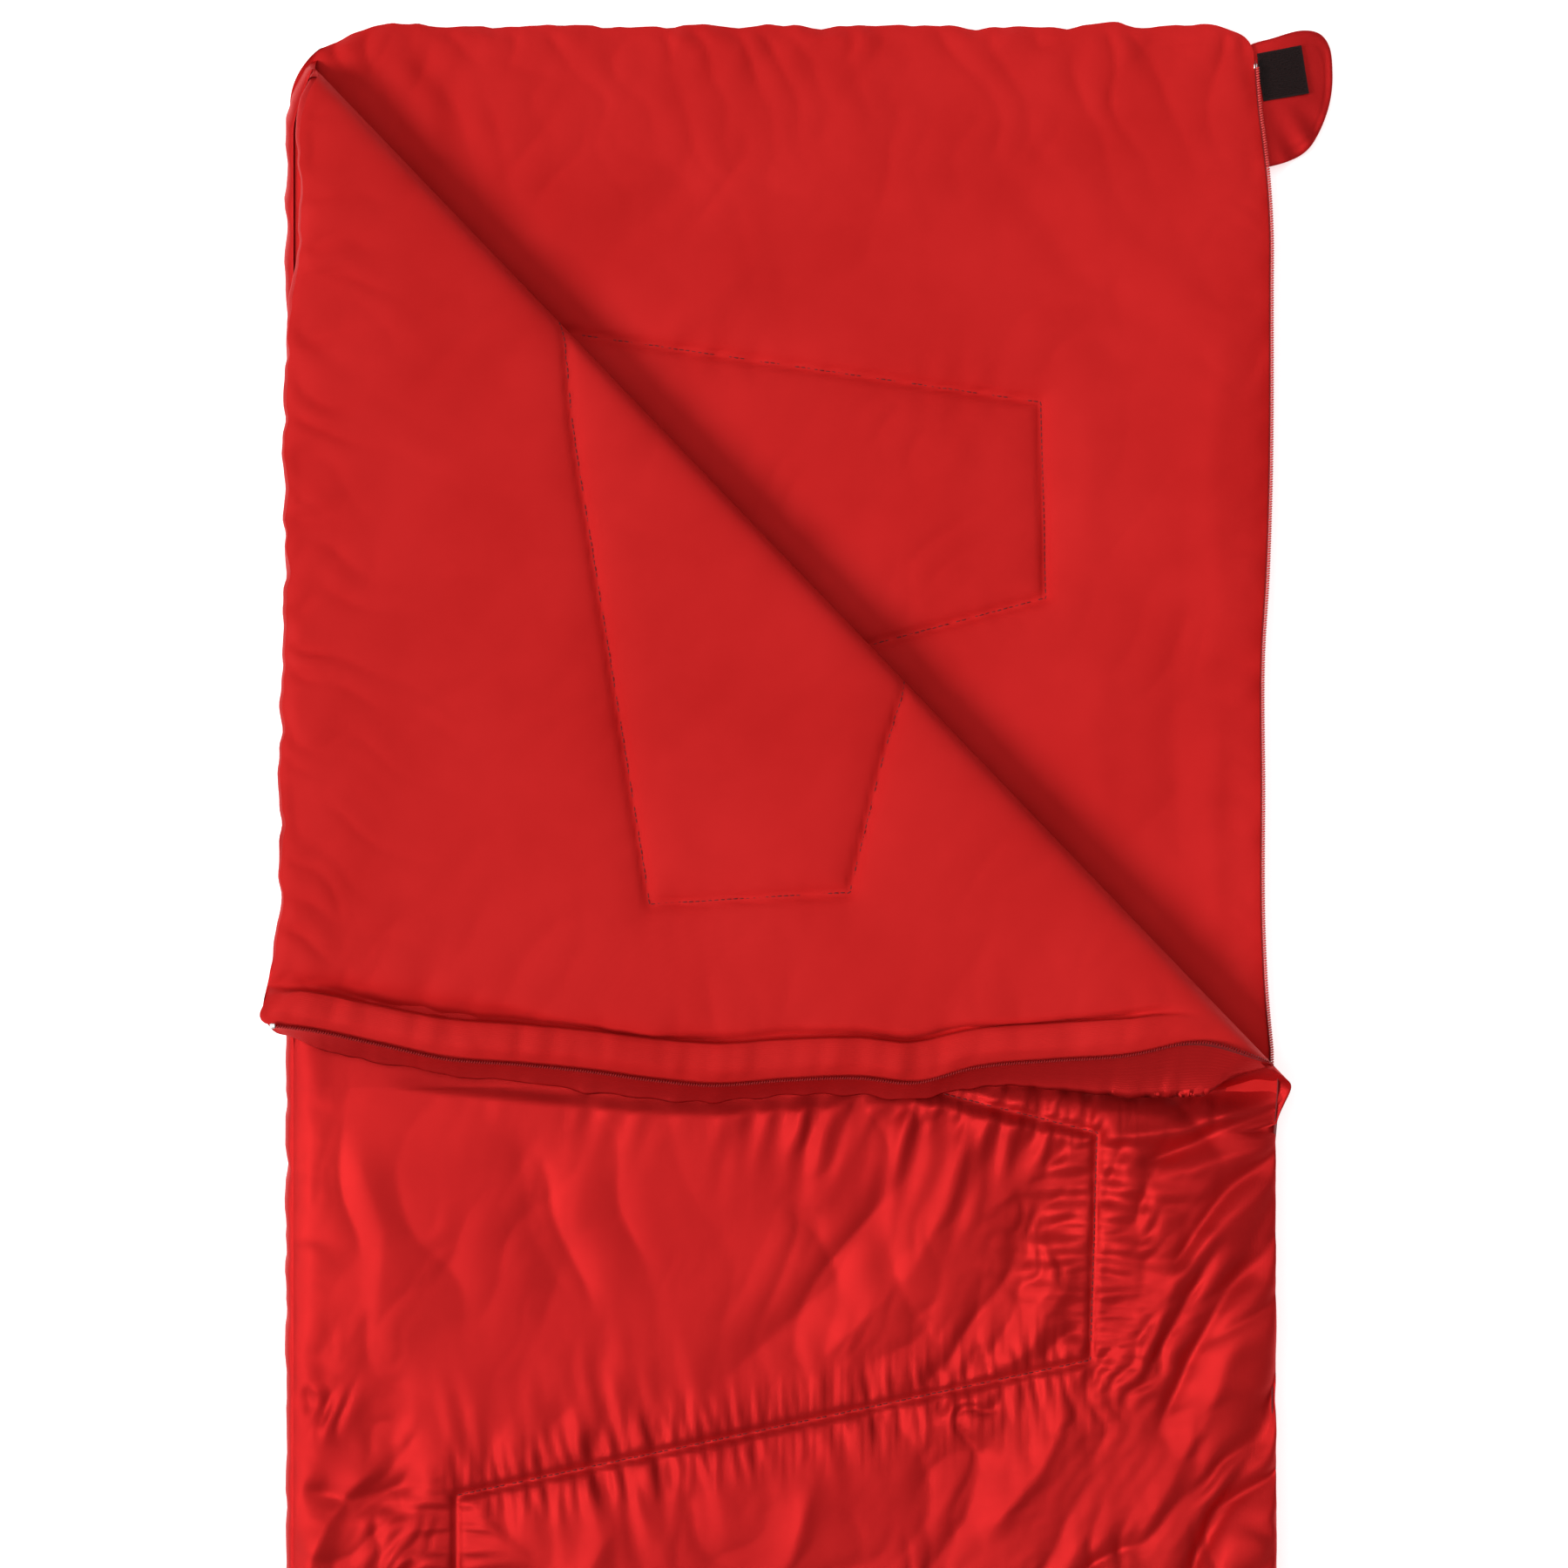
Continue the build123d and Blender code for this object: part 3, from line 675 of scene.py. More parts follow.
def sway(x, y, z, s, x_flat, y_flat):
    """Moves the turned corner in its own plane: the zip edge follows the hem's wandering line and the head
    edge its own, both fading out over 130 mm, and the lip by the zip stands up a little."""
    on = soft_step(s / (55 * MM))
    near_zip = 1 - soft_step((right_x - x_flat) / (130 * MM))
    near_head = 1 - soft_step((top_head_y - y_flat) / (110 * MM))
    y = y + on * near_zip * curve_at(x / MM, hem_sway) * MM
    hang = 1 - soft_step((y - 0.135) / 0.045)
    x = x - on * near_head * (curve_at(y / MM, edge_sway) * MM) * (1 - hang)
    z = z + on * (1 - soft_step((right_x - x_flat) / (60 * MM))) * 3 * MM
    return x, y, z


def place_top(x, y, z):
    """Where a point of the closed top layer lies once the corner is turned back.

    With s the distance past the fold line and c the depth below the hinge, the distance from the line
    becomes -sqrt(s^2 + a^2) + (a + b) exp(-(s/w)^2) and the height the hinge's plus c s / sqrt(s^2 + a^2),
    where a, b and w all grow with c.
    """
    s = fold_side(x, y)
    c = fold_z - z
    size = np.abs(c)
    a = 0.62 * size + 0.3 * MM
    along = (x - fold_point[0]) * fold_along[0] + (y - fold_point[1]) * fold_along[1]
    b = size / 20 * curve_at(along / MM, fold_wander) * MM
    root = np.sqrt(s * s + a * a)
    q = -root + (a + b) * np.exp(-((s / (1.9 * size + 5 * MM)) ** 2))
    px = x + (q - s) * fold_out[0]
    py = y + (q - s) * fold_out[1]
    pz = fold_z + c * s / root
    return sway(px, py, pz, s, x, y)


def bulge(m, reach, width=20 * MM):
    """How far cloth rolls out past its seam: (reach + w/2) / 0.39 times (m/w) exp(-(m/w)^2)."""
    return (reach + width / 2) / 0.39 * (m / width) * np.exp(-((m / width) ** 2)) * (reach > 0)


def side_room(u):
    """How far the shells draw in at the closed side, to leave room for the round turn of the quilt."""
    return 5 * MM * (1 - soft_step((u - left_x) / (60 * MM)))


def top_shell_point(u, v, zip_reach, head_reach):
    """A point of the top shell in the closed bag.

    It is rolled out past the zip and the head hem, and drawn in at the closed side.
    """
    at = top_satin(u, v)
    x, y, z = at[..., 0], at[..., 1], top_seam_z + at[..., 2]
    x = x + bulge(right_x - u, zip_reach) * soft_step((top_head_y - v) / (22 * MM)) + side_room(u)
    y = y + bulge(top_head_y - v, head_reach) * soft_step((right_x - u) / (22 * MM))
    return x, y, z


# %% [markdown]
# ## The linings
# The bottom lining is the bed of the bag. The top lining runs from the side, under the top layer, round
# the fold and over the turned-back corner, in one piece.

# %% Bottom lining and top lining
def spaced(parts):
    """A line of numbers in runs, each (start, end, step), without repeating the joints."""
    runs = [np.linspace(a, b, max(2, int(round(abs(b - a) / step)) + 1))[:-1] for a, b, step in parts]
    return np.r_[np.concatenate(runs), parts[-1][1]]


fine = 3.3 * MM
u, v = np.meshgrid(spaced([(left_x, right_x, fine)]),
                   spaced([(foot_y, 0, 6.5 * MM), (0, 860 * MM, fine), (860 * MM, head_y, 2.5 * MM)]))
bed = bed_lining(u, v)
bed[..., 2] += bottom_seam_z
bottom_lining_cloth = sheet_mesh("bottom_lining_cloth", bed, np.dstack([u, v]))

u, v = np.meshgrid(spaced([(left_x, 325 * MM, fine), (325 * MM, right_x, 1.9 * MM)]),
                   spaced([(foot_y, 0, 6.5 * MM), (0, 860 * MM, fine), (860 * MM, top_head_y, 2.5 * MM)]))
at = top_lining(u, v)
turned = np.dstack(place_top(at[..., 0], at[..., 1], top_seam_z - at[..., 2]))
# Well past the fold, the lining is kept at 48 mm or higher, above the heights from 38 to 47 mm.
turned[..., 2] = np.where(fold_side(u, v) > 40 * MM, np.maximum(turned[..., 2], 48 * MM), turned[..., 2])
top_lining_cloth = sheet_mesh("top_lining_cloth", turned, np.dstack([u, v]), flip=True)
print("lining points:", bed.shape[:2], turned.shape[:2])


# %% [markdown]
# ## The shell
# The real shell is one cloth from zip to zip round the closed side. Here it is three pieces that meet
# edge to edge: the ground side with the closed side's roll, the top as far as the fold, and the
# underside of the turned corner. Each can then have as fine a grid as it needs.

# %% Top shell and corner shell
def rows_between(x, y_from, y_to, shares):
    """A grid whose columns keep their X, and whose rows share out the way from one Y to another."""
    shares = shares[:, None] + 0 * x
    return np.broadcast_to(x, shares.shape), y_from * (1 - shares) + y_to * shares


def split_y(x):
    """The Y at which the top layer is divided: the fold line, or the head edge where that is lower."""
    x = np.asarray(x, float)
    return np.minimum(fold_point[1] - (x - fold_point[0]) * fold_out[0] / fold_out[1], top_head_y)


flat_end = 90 * MM  # the rows are level up to here, and then turn by degrees to follow the fold
silk = 2.6 * MM
fine_x = spaced([(left_x, right_x, silk)])
low_y = spaced([(foot_y, -290 * MM, 5.2 * MM), (-290 * MM, flat_end, silk)])
low_rows = (low_y - foot_y) / (flat_end - foot_y)
high_rows = 1 - (1 - np.linspace(0, 1, 48)[1:]) ** 1.6
u_low, v_low = rows_between(fine_x, foot_y, flat_end, low_rows)
u_high, v_high = rows_between(fine_x, flat_end, split_y(fine_x), high_rows)
u, v = np.vstack([u_low, u_high]), np.vstack([v_low, v_high])


def shell_reach(v):
    """How far the closed top shell rolls past the zip: a little, and more at the mouth."""
    return (1.5 + 9 * np.exp(-(((v / MM - 90) / 24) ** 2)) - 3.0 * np.exp(-(((v / MM - 60) / 15) ** 2))) * MM


x, y, z = top_shell_point(u, v, shell_reach(v), 1 * MM)
# The cloth above this edge, in mm along Y at each X, is pressed down by the corner that lies on it.
band_edge = curve_at(u / MM, [(-375, 128), (-353, 121), (-317, 106), (-277, 97), (-224, 91), (-182, 87),
                              (-94, 79), (-41, 78), (28, 83), (78, 86), (157, 89), (204, 88), (259, 82),
                              (321, 77), (375, 86)]) * MM
covered = soft_step((v - band_edge) / (14 * MM) + 0.9)
z = z - covered * (2.5 * MM + 0.85 * np.maximum(z - 44 * MM, 0))
top_cloth = sheet_mesh("top_shell_cloth", np.dstack(place_top(x, y, z)), np.dstack([u, v]))

corner_x = np.linspace(fold_x(top_head_y) + 1 * MM, right_x, 190)
corner_rows = 1 - (1 - np.linspace(0, 1, 190)) ** 1.25
u, v = rows_between(corner_x, split_y(corner_x), top_head_y, corner_rows)


def hem_reach(u, v):
    """How far the corner's shell shows below the zip line, and how it gathers into small tucks."""
    s = fold_side(u, v)
    hem_x = (u - 2 * s * fold_out[0]) / MM
    show = curve_at(hem_x, [(-400, 6), (-370, 8), (-353, 13), (-317, 15), (-277, 14), (-224, 14),
                            (-182, 15), (-94, 16), (-41, 14), (28, 13), (78, 13), (120, 15), (157, 17),
                            (204, 22), (259, 31), (321, 38), (350, 37), (372, 30), (385, 22)])
    tuck = 1.2 * waves(hem_x * MM, 0 * hem_x, 34 * MM, 51) + 0.3 * waves(hem_x * MM, 0 * hem_x, 17 * MM, 52)
    return (show + tuck) * soft_step((s + 4 * MM) / (34 * MM)) * MM


head_reach = (1.6 + 1.0 * waves(u, 0 * u, 60 * MM, 55)) * MM
x, y, z = top_shell_point(u, v, hem_reach(u, v), np.maximum(head_reach, 0.3 * MM))
m = (right_x - u) / MM
# Behind the zip the shell reaches nearly its full depth within 10.5 mm, and then eases back.
fall = 1 - (1 - np.clip(m / 10.5, 0, 1)) ** 2
steep = fall * np.exp(-((np.maximum(m - 10.5, 0) / 38) ** 4))
z = z + (top_shell_z - 1.5 * MM - z) * 0.95 * steep
wrinkle = soft_step((60 - m) / 50) * soft_step(m / 6)
wrinkle = wrinkle * (0.45 + 0.55 * soft_step((300 * MM - v) / (160 * MM)))
fine_folds = 2.0 * creased(v, 0.7 * u, 17 * MM, 53, 90, 0.5, 0.5) + 0.4 * waves(v, 0.4 * u, 9 * MM, 54)
z = z + wrinkle * fine_folds * MM
corner_cloth = sheet_mesh("corner_shell_cloth", np.dstack(place_top(x, y, z)), np.dstack([u, v]))

# %% [markdown]
# The ground side hardly shows, so its grid is coarser. Its profile goes from the zip seam, under the
# bag, and up round the closed side in half an ellipse, to meet the top shell.

# %% Ground side and closed side
ground = ground_field.copy()
ground[..., 2] = bottom_seam_z - ground_field[..., 2]
ground[..., 2] = np.maximum(ground[..., 2], 0.2 * MM)
turn = np.linspace(-np.pi / 2, np.pi / 2, 33)[1:]
side_y = np.linspace(foot_y, head_y, ground_uv.shape[0])
scallop = 1 + 0.35 * waves(side_y, 0 * side_y, 48 * MM, 61) + 0.2 * waves(side_y, 0 * side_y, 20 * MM, 62)
ground[..., 0] += side_room(ground_uv[..., 0])
edge_point = ground[:, 0]
share_y = (side_y - foot_y) / (head_y - foot_y)
top_edge_v = foot_y + share_y * (float(split_y([left_x])[0]) - foot_y)
ex, ey, ez = top_shell_point(np.full_like(side_y, left_x), top_edge_v, np.zeros_like(side_y), 1 * MM)
upper_edge = np.column_stack(place_top(ex, ey, ez))
rise_share = (np.sin(turn)[:, None] + 1) / 2
side = edge_point * (1 - rise_share[..., None]) + upper_edge * rise_share[..., None]
side[..., 0] -= np.cos(turn)[:, None] * (5 + 2.5 * scallop) * MM
strip = np.vstack([side[::-1], edge_point[None]])
strip = np.swapaxes(strip, 0, 1)
whole = np.concatenate([strip, ground[:, 1:]], axis=1)
strip_u = left_x - np.r_[np.cumsum(np.full(len(turn), 1.6 * MM))[::-1], 0]
strip_pattern = np.broadcast_to(strip_u, (len(side_y), len(strip_u)))
pattern_u = np.concatenate([strip_pattern, ground_uv[:, 1:, 0]], axis=1)
pattern = np.dstack([pattern_u, np.broadcast_to(side_y[:, None], pattern_u.shape)])
ground_cloth = sheet_mesh("ground_shell_cloth", whole, pattern, flip=True)
print("ground side grid", whole.shape[:2])


# %% [markdown]
# ## The wadding
# The filling is a soft sheet of fibre between the cloths. It never shows, but it is what the quilt is
# made of, so each layer has its own closed pad, a few millimetres inside the cloths.

# %% Pads of wadding
def pad_mesh(name, lower, upper):
    """A closed pad from two grids of the same shape: both grids, and a wall round their rims."""
    rows, columns = lower.shape[:2]
    count = rows * columns
    index = np.arange(count).reshape(rows, columns)
    rim = np.r_[index[0], index[1:, -1], index[-1, -2::-1], index[-2:0:-1, 0]]
    after = np.roll(rim, -1)
    wall = np.stack([rim, after, after + count, rim + count], axis=1)
    faces = np.vstack([grid_faces(rows, columns, flip=True), grid_faces(rows, columns) + count, wall])
    return new_mesh(name, np.vstack([lower.reshape(-1, 3), upper.reshape(-1, 3)]), faces)


def pad_grids(u, v, lining, shell, row):
    """The two faces of a pad: half way between the cloths, give or take a sixth of the gap between
    them, which shrinks to almost nothing at the stitch row."""
    d, _, _ = near_line(u, v, row)
    middle, half = 0.5 * lining + 0.5 * shell, (shell - lining)[..., 2] / 6 * soft_step(d / (42 * MM)) ** 1.5
    near, far = middle.copy(), middle.copy()
    near[..., 2] -= half
    far[..., 2] += half + 0.1 * MM * np.sign(shell - lining)[..., 2]
    return near, far


inset = 16 * MM
u, v = flat_grid(left_x + inset, right_x - inset, foot_y + inset, head_y - inset, 10 * MM)
lining_at = bed_lining(u, v)
shell_at = read_grid(ground_field, u, v, (left_x, right_x, foot_y, head_y)).astype(float)
lining_at[..., 2] += bottom_seam_z
shell_at[..., 2] = bottom_seam_z - shell_at[..., 2]
near, far = pad_grids(u, v, lining_at, shell_at, bottom_row)
bottom_pad = pad_mesh("bottom_wadding_pad", far, near)


def top_layer_pad(name, u, v):
    """A pad of the top layer, turned over with the corner where it belongs to it.

    The shell's rise is taken as the lowest of five places 9 mm apart, so the pad stays below its creases.
    """
    lining_at, shell_at = top_lining(u, v), top_satin(u, v)
    around = [top_satin(u + a * MM, v + b * MM)[..., 2] for a, b in ((9, 0), (-9, 0), (0, 9), (0, -9))]
    shell_at[..., 2] = np.minimum.reduce([shell_at[..., 2], *around])
    lining_at[..., 2] = top_seam_z - lining_at[..., 2]
    shell_at[..., 2] += top_seam_z
    near, far = pad_grids(u, v, lining_at, shell_at, top_row)
    near, far = (np.dstack(place_top(*np.moveaxis(g, -1, 0))) for g in (near, far))
    return pad_mesh(name, near, far)


pad_x = np.linspace(left_x + inset, right_x - 64 * MM, 70)
u, v = rows_between(pad_x, foot_y + inset, split_y(pad_x) - 14 * MM, np.linspace(0, 1, 150))
top_pad = top_layer_pad("top_wadding_pad", u, v)
pad_x = np.linspace(fold_x(top_head_y) + 3 * inset, right_x - 62 * MM, 60)
u, v = rows_between(pad_x, split_y(pad_x) + 14 * MM, top_head_y - inset, np.linspace(0, 1, 60))
corner_pad = top_layer_pad("corner_wadding_pad", u, v)


# %% [markdown]
# ## Threads
# A quilting stitch shows as a short thread that dives into the cloth at both ends. One small spindle is
# made once and copied along the row as arrays: every copy is turned to the row's direction and set a
# hair above the cloth.

# %% Many copies of one small shape along a path
def spindle(length, radius, sides=6, rings=(0.0, 0.18, 0.5, 0.82, 1.0)):
    """A closed spindle along X: radius times the root of 1 - (2t - 1)^4 at share t of its length."""
    t = np.array(rings)
    r = radius * np.sqrt(np.maximum(1 - (2 * t - 1) ** 4, 0.03))
    turn = np.linspace(0, 2 * np.pi, sides, endpoint=False)
    points = np.stack([np.broadcast_to((t - 0.5)[:, None] * length, (len(t), sides)),
                       r[:, None] * np.cos(turn), r[:, None] * np.sin(turn)], axis=-1).reshape(-1, 3)
    index = np.arange(len(t) * sides).reshape(len(t), sides)
    after = np.roll(index, -1, axis=1)
    faces = np.stack([index[:-1], after[:-1], after[1:], index[1:]], axis=-1).reshape(-1, 4)
    caps = [[index[0, 0], index[0, 5], index[0, 4], index[0, 3]],
            [index[0, 0], index[0, 3], index[0, 2], index[0, 1]],
            [index[-1, 0], index[-1, 1], index[-1, 2], index[-1, 3]],
            [index[-1, 0], index[-1, 3], index[-1, 4], index[-1, 5]]]
    return points, np.vstack([faces, caps])


def along_path(path, spacing, start=0.0):
    """Evenly spaced places on a path of points: (place, direction), by looking up its running length."""
    run = np.linalg.norm(np.diff(path, axis=0), axis=1)
    total = np.r_[0, np.cumsum(run)]
    at = np.arange(start, total[-1], spacing)
    place = np.column_stack([np.interp(at, total, path[:, i]) for i in range(3)])
    ahead = np.column_stack([np.interp(at + 0.5 * spacing, total, path[:, i]) for i in range(3)])
    back = np.column_stack([np.interp(at - 0.5 * spacing, total, path[:, i]) for i in range(3)])
    direction = ahead - back
    return place, direction / np.linalg.norm(direction, axis=1)[:, None]


def copies(shape, places, forward, up):
    """The shape's points set at each place: x forward + y side + z up, all copies in one array."""
    points, faces = shape
    side = np.cross(up, forward)
    side /= np.linalg.norm(side, axis=1)[:, None]
    up = np.cross(forward, side)
    axes = np.stack([forward, side, up], axis=1)
    placed = np.einsum("pk,nkc->npc", points, axes) + places[:, None, :]
    shift = (np.arange(len(places)) * len(points))[:, None, None]
    return placed.reshape(-1, 3), (faces[None] + shift).reshape(-1, faces.shape[1])


def join(parts):
    """Several (points, faces) as one."""
    points, faces, done = [], [], 0
    for p, f in parts:
        points.append(p)
        faces.append(f + done)
        done += len(p)
    return np.vstack(points), np.vstack(faces)


def dense(points, step):
    """The same line of runs with points added at about the given step."""
    points = np.asarray(points, float)
    parts = [np.linspace(a, b, max(2, int(np.linalg.norm(b - a) / step) + 1))[:-1]
             for a, b in zip(points, points[1:])]
    return np.vstack(parts + [points[-1:]])


STITCH = spindle(3.8 * MM, 0.5 * MM)
STITCH_PITCH = 4.8 * MM


def stitch_line(path, lift):
    """Threads along a path, lifted off the cloth along Z by the given amount."""
    place, forward = along_path(path, STITCH_PITCH)
    up = np.zeros_like(place)
    up[:, 2] = 1.0
    place = place + up * lift
    return copies(STITCH, place, forward, up)


def on_cloth(row, cloth, seam_z, side):
    """The row's points on a cloth, at seam_z + side * rise."""
    line = dense(row, 2 * MM)
    at = cloth(line[:, 0], line[:, 1])
    return np.column_stack([at[:, 0], at[:, 1], seam_z + side * at[:, 2]]), line


def ground_shell(u, v):
    return read_grid(ground_field, u, v, (left_x, right_x, foot_y, head_y))


lift = 0.3 * MM
path, _ = on_cloth(bottom_row, bed_lining, bottom_seam_z, 1)
below, _ = on_cloth(bottom_row, ground_shell, bottom_seam_z, -1)
bottom_lines = [stitch_line(path, lift), stitch_line(below, -lift)]
bottom_stitches = new_mesh("bottom_quilting_thread", *join(bottom_lines))

inner, line = on_cloth(top_row, top_lining, top_seam_z, -1)
outer, _ = on_cloth(top_row, top_satin, top_seam_z, 1)
s = fold_side(line[:, 0], line[:, 1])
inner_lift = inner - [0, 0, lift]
outer_lift = outer + [0, 0, lift]


def threads(name, keep):
    """The threads of the top row, on both cloths, for the part of the row that is kept."""
    parts = []
    for face in (inner_lift, outer_lift):
        placed = np.column_stack(place_top(*face.T))
        cuts = np.flatnonzero(np.diff(keep.astype(int))) + 1
        for chunk, used in zip(np.split(placed, cuts), np.split(keep, cuts)):
            if used[0] and len(chunk) > 4:
                parts.append(stitch_line(chunk, 0))
    return new_mesh(name, *join(parts))


top_stitches = threads("top_quilting_thread", s < -3 * MM)
corner_stitches = threads("corner_quilting_thread", s > 3 * MM)
print("threads:", len(bottom_stitches.data.polygons), len(top_stitches.data.polygons),
      len(corner_stitches.data.polygons), "faces")


# %% [markdown]
# ## The zip
# A coil zip is a row of nylon loops sewn to the edge of a narrow tape. There are two rows, one on each
# layer. They run down the right side, round the corner and along the foot. Where the bag is open, the
# upper row goes with the turned corner and becomes the line along its hem.

# %% Tapes and coils
def zip_path(y_top, x_end, inset=0.0, step=3 * MM):
    """The zip's line in the closed bag: down the right side, a quarter circle, and along the foot."""
    radius = 40 * MM
    x, y = right_x - inset, foot_y + inset
    turn = np.linspace(0, -np.pi / 2, 24)
    bend = np.column_stack([x - radius + radius * np.cos(turn), y + radius + radius * np.sin(turn)])
    if x_end is None:
        line = np.array([[x, y_top[0]], [x, y_top[1]]])
    else:
        line = np.vstack([[[x, y_top]], bend, [[x_end, y]]])
    return dense(line, step)


def outward(path):
    """The level direction at right angles to a path, on its left side as it runs."""
    ahead = np.gradient(path[:, :2], axis=0)
    ahead /= np.linalg.norm(ahead, axis=1)[:, None]
    return np.column_stack([-ahead[:, 1], ahead[:, 0]])


def tape_strip(path, z_from, z_to, thick=0.8 * MM):
    """A closed strip along a path: its four-cornered section is carried along, with end walls.

    Returns the grid of points, so that it can be turned with the corner before it becomes a mesh.
    """
    out = outward(path)
    corners = [(-0.5, z_from), (0.5, z_from), (0.5, (z_from + z_to) / 2), (0.5, z_to), (-0.5, z_to),
               (-0.5, (z_from + z_to) / 2)]
    rings = [np.column_stack([path[:, :2] + out * offset * thick, np.full(len(path), z)])
             for offset, z in corners]
    return np.stack(rings, axis=1)


def tube_faces(rows, columns):
    """Faces of a closed tube of rows by columns points, with four-cornered end caps for six sides."""
    index = np.arange(rows * columns).reshape(rows, columns)
    after = np.roll(index, -1, axis=1)
    body = np.stack([index[:-1], after[:-1], after[1:], index[1:]], axis=-1).reshape(-1, 4)
    a, b = index[0], index[-1]
    caps = [[a[5], a[2], a[1], a[0]], [a[5], a[4], a[3], a[2]],
            [b[0], b[1], b[2], b[5]], [b[2], b[3], b[4], b[5]]]
    return np.vstack([body, caps])


def strip_mesh(name, rings):
    return new_mesh(name, rings.reshape(-1, 3), tube_faces(*rings.shape[:2]), smooth=False)


TURN = spindle(3.0 * MM, 0.82 * MM, rings=(0.0, 0.15, 0.5, 0.85, 1.0))
COIL_PITCH = 1.9 * MM


def coil_turns(path, place=None):
    """Coil loops across a path: each lies at right angles to it and leans a little along it."""
    at, forward = along_path(path, COIL_PITCH)
    if place is not None:
        tip = np.column_stack(place(*(at + forward * 1 * MM).T))
        out = np.column_stack([forward[:, 1], -forward[:, 0], np.zeros(len(at))])
        tip_out = np.column_stack(place(*(at + out * 1 * MM).T))
        at = np.column_stack(place(*at.T))
        forward, across = tip - at, tip_out - at
        forward /= np.linalg.norm(forward, axis=1)[:, None]
        across /= np.linalg.norm(across, axis=1)[:, None]
    else:
        across = np.column_stack([forward[:, 1], -forward[:, 0], np.zeros(len(at))])
    across = across + forward * 0.35
    across /= np.linalg.norm(across, axis=1)[:, None]
    up = np.cross(across, forward)
    up /= np.linalg.norm(up, axis=1)[:, None]
    return copies(TURN, at, across, up)


def drawn_in(path):
    """The lower zip wanders with the edge of the cloth."""
    path = path.copy()
    path[:, 0] += curve_at(path[:, 1] / MM, zip_wander) * MM
    return path


def at_height(path, z):
    return np.column_stack([path, np.full(len(path), z)])


coil_low = (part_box("zip_coil_lower")[0].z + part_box("zip_coil_lower")[1].z) / 2
coil_high = (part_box("zip_coil_upper")[0].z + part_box("zip_coil_upper")[1].z) / 2
coil_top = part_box("zip_coil_lower")[1].y
mouth_y = 105 * MM  # where the zip's closed stretch ends and the open one begins
open_coil_y = 108 * MM  # where the corner's coil begins
tip_gap = 7 * MM  # the corner's coil and tape end this far short of the lower coil's top
stop_gap = 5 * MM  # and the corner's stop lies this far short of it
coil_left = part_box("zip_coil_lower")[0].x
chain_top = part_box("zip_coil_upper")[1].y
tape_low = (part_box("zip_tape_lower")[0].z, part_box("zip_tape_lower")[1].z)
tape_high = (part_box("zip_tape_upper")[0].z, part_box("zip_tape_upper")[1].z)
offset = -0.4 * MM

lower = drawn_in(zip_path(coil_top + 6 * MM, coil_left, offset))
lower_tape = strip_mesh("lower_zip_tape", tape_strip(lower, *tape_low))
lower_line = drawn_in(zip_path(coil_top, coil_left, offset - 1.2 * MM))
lower_coil = new_mesh("lower_zip_coil", *coil_turns(at_height(lower_line, coil_low)))

upper = zip_path(mouth_y, coil_left, offset)
upper_rings = tape_strip(upper, *tape_high)
upper_tape = strip_mesh("upper_zip_tape", np.dstack(place_top(*np.moveaxis(upper_rings, -1, 0))))
upper_line = zip_path(chain_top, coil_left, offset)
upper_coil = new_mesh("upper_zip_coil", *coil_turns(at_height(upper_line, coil_high)))

open_line = zip_path((coil_top - tip_gap, mouth_y), None, offset)
corner_rings = tape_strip(open_line, *tape_high)
corner_tape = strip_mesh("corner_zip_tape", np.dstack(place_top(*np.moveaxis(corner_rings, -1, 0))))
open_coil = at_height(zip_path((coil_top - tip_gap, open_coil_y), None, offset), coil_high)
corner_coil = new_mesh("corner_zip_coil", *coil_turns(open_coil, place_top))
print("coil faces:", len(lower_coil.data.polygons), len(upper_coil.data.polygons),
      len(corner_coil.data.polygons))


# %% [markdown]
# The stops are bright metal clamps at the ends of the coils. Each is a rounded block a little larger
# than the coil it grips.

# %% Stops
def rounded_block(centre, size, power=4.0, rows=13, columns=24):
    """A superellipsoid: each axis is its half size times the signed 2/power root of a cosine or sine."""
    lat = np.linspace(-np.pi / 2, np.pi / 2, rows)[1:-1, None]
    lon = np.linspace(0, 2 * np.pi, columns, endpoint=False)[None, :]

    def curve(t):
        return np.sign(t) * np.abs(t) ** (2 / power)

    half = np.array(size) / 2
    ring = np.dstack([half[0] * curve(np.cos(lat)) * curve(np.cos(lon)),
                      half[1] * curve(np.cos(lat)) * curve(np.sin(lon)),
                      half[2] * curve(np.sin(lat)) * np.ones_like(lon)]).reshape(-1, 3)
    points = np.vstack([ring, [[0, 0, -half[2]], [0, 0, half[2]]]]) + np.array(centre)
    index = np.arange((rows - 2) * columns).reshape(rows - 2, columns)
    after = np.roll(index, -1, axis=1)
    body = np.stack([index[:-1], after[:-1], after[1:], index[1:]], axis=-1).reshape(-1, 4)
    pole_low, pole_high = len(ring), len(ring) + 1
    a, b = index[0, ::2], index[0, 1::2]
    c = np.roll(a, -1)
    low_cap = np.stack([np.full_like(a, pole_low), c, b, a], axis=1)
    a, b = index[-1, ::2], index[-1, 1::2]
    c = np.roll(a, -1)
    high_cap = np.stack([np.full_like(a, pole_high), a, b, c], axis=1)
    return points, np.vstack([body, low_cap, high_cap])


def box_middle(node):
    lo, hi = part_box(node)
    return np.array([(lo.x + hi.x) / 2, (lo.y + hi.y) / 2, (lo.z + hi.z) / 2]), np.array(hi - lo)


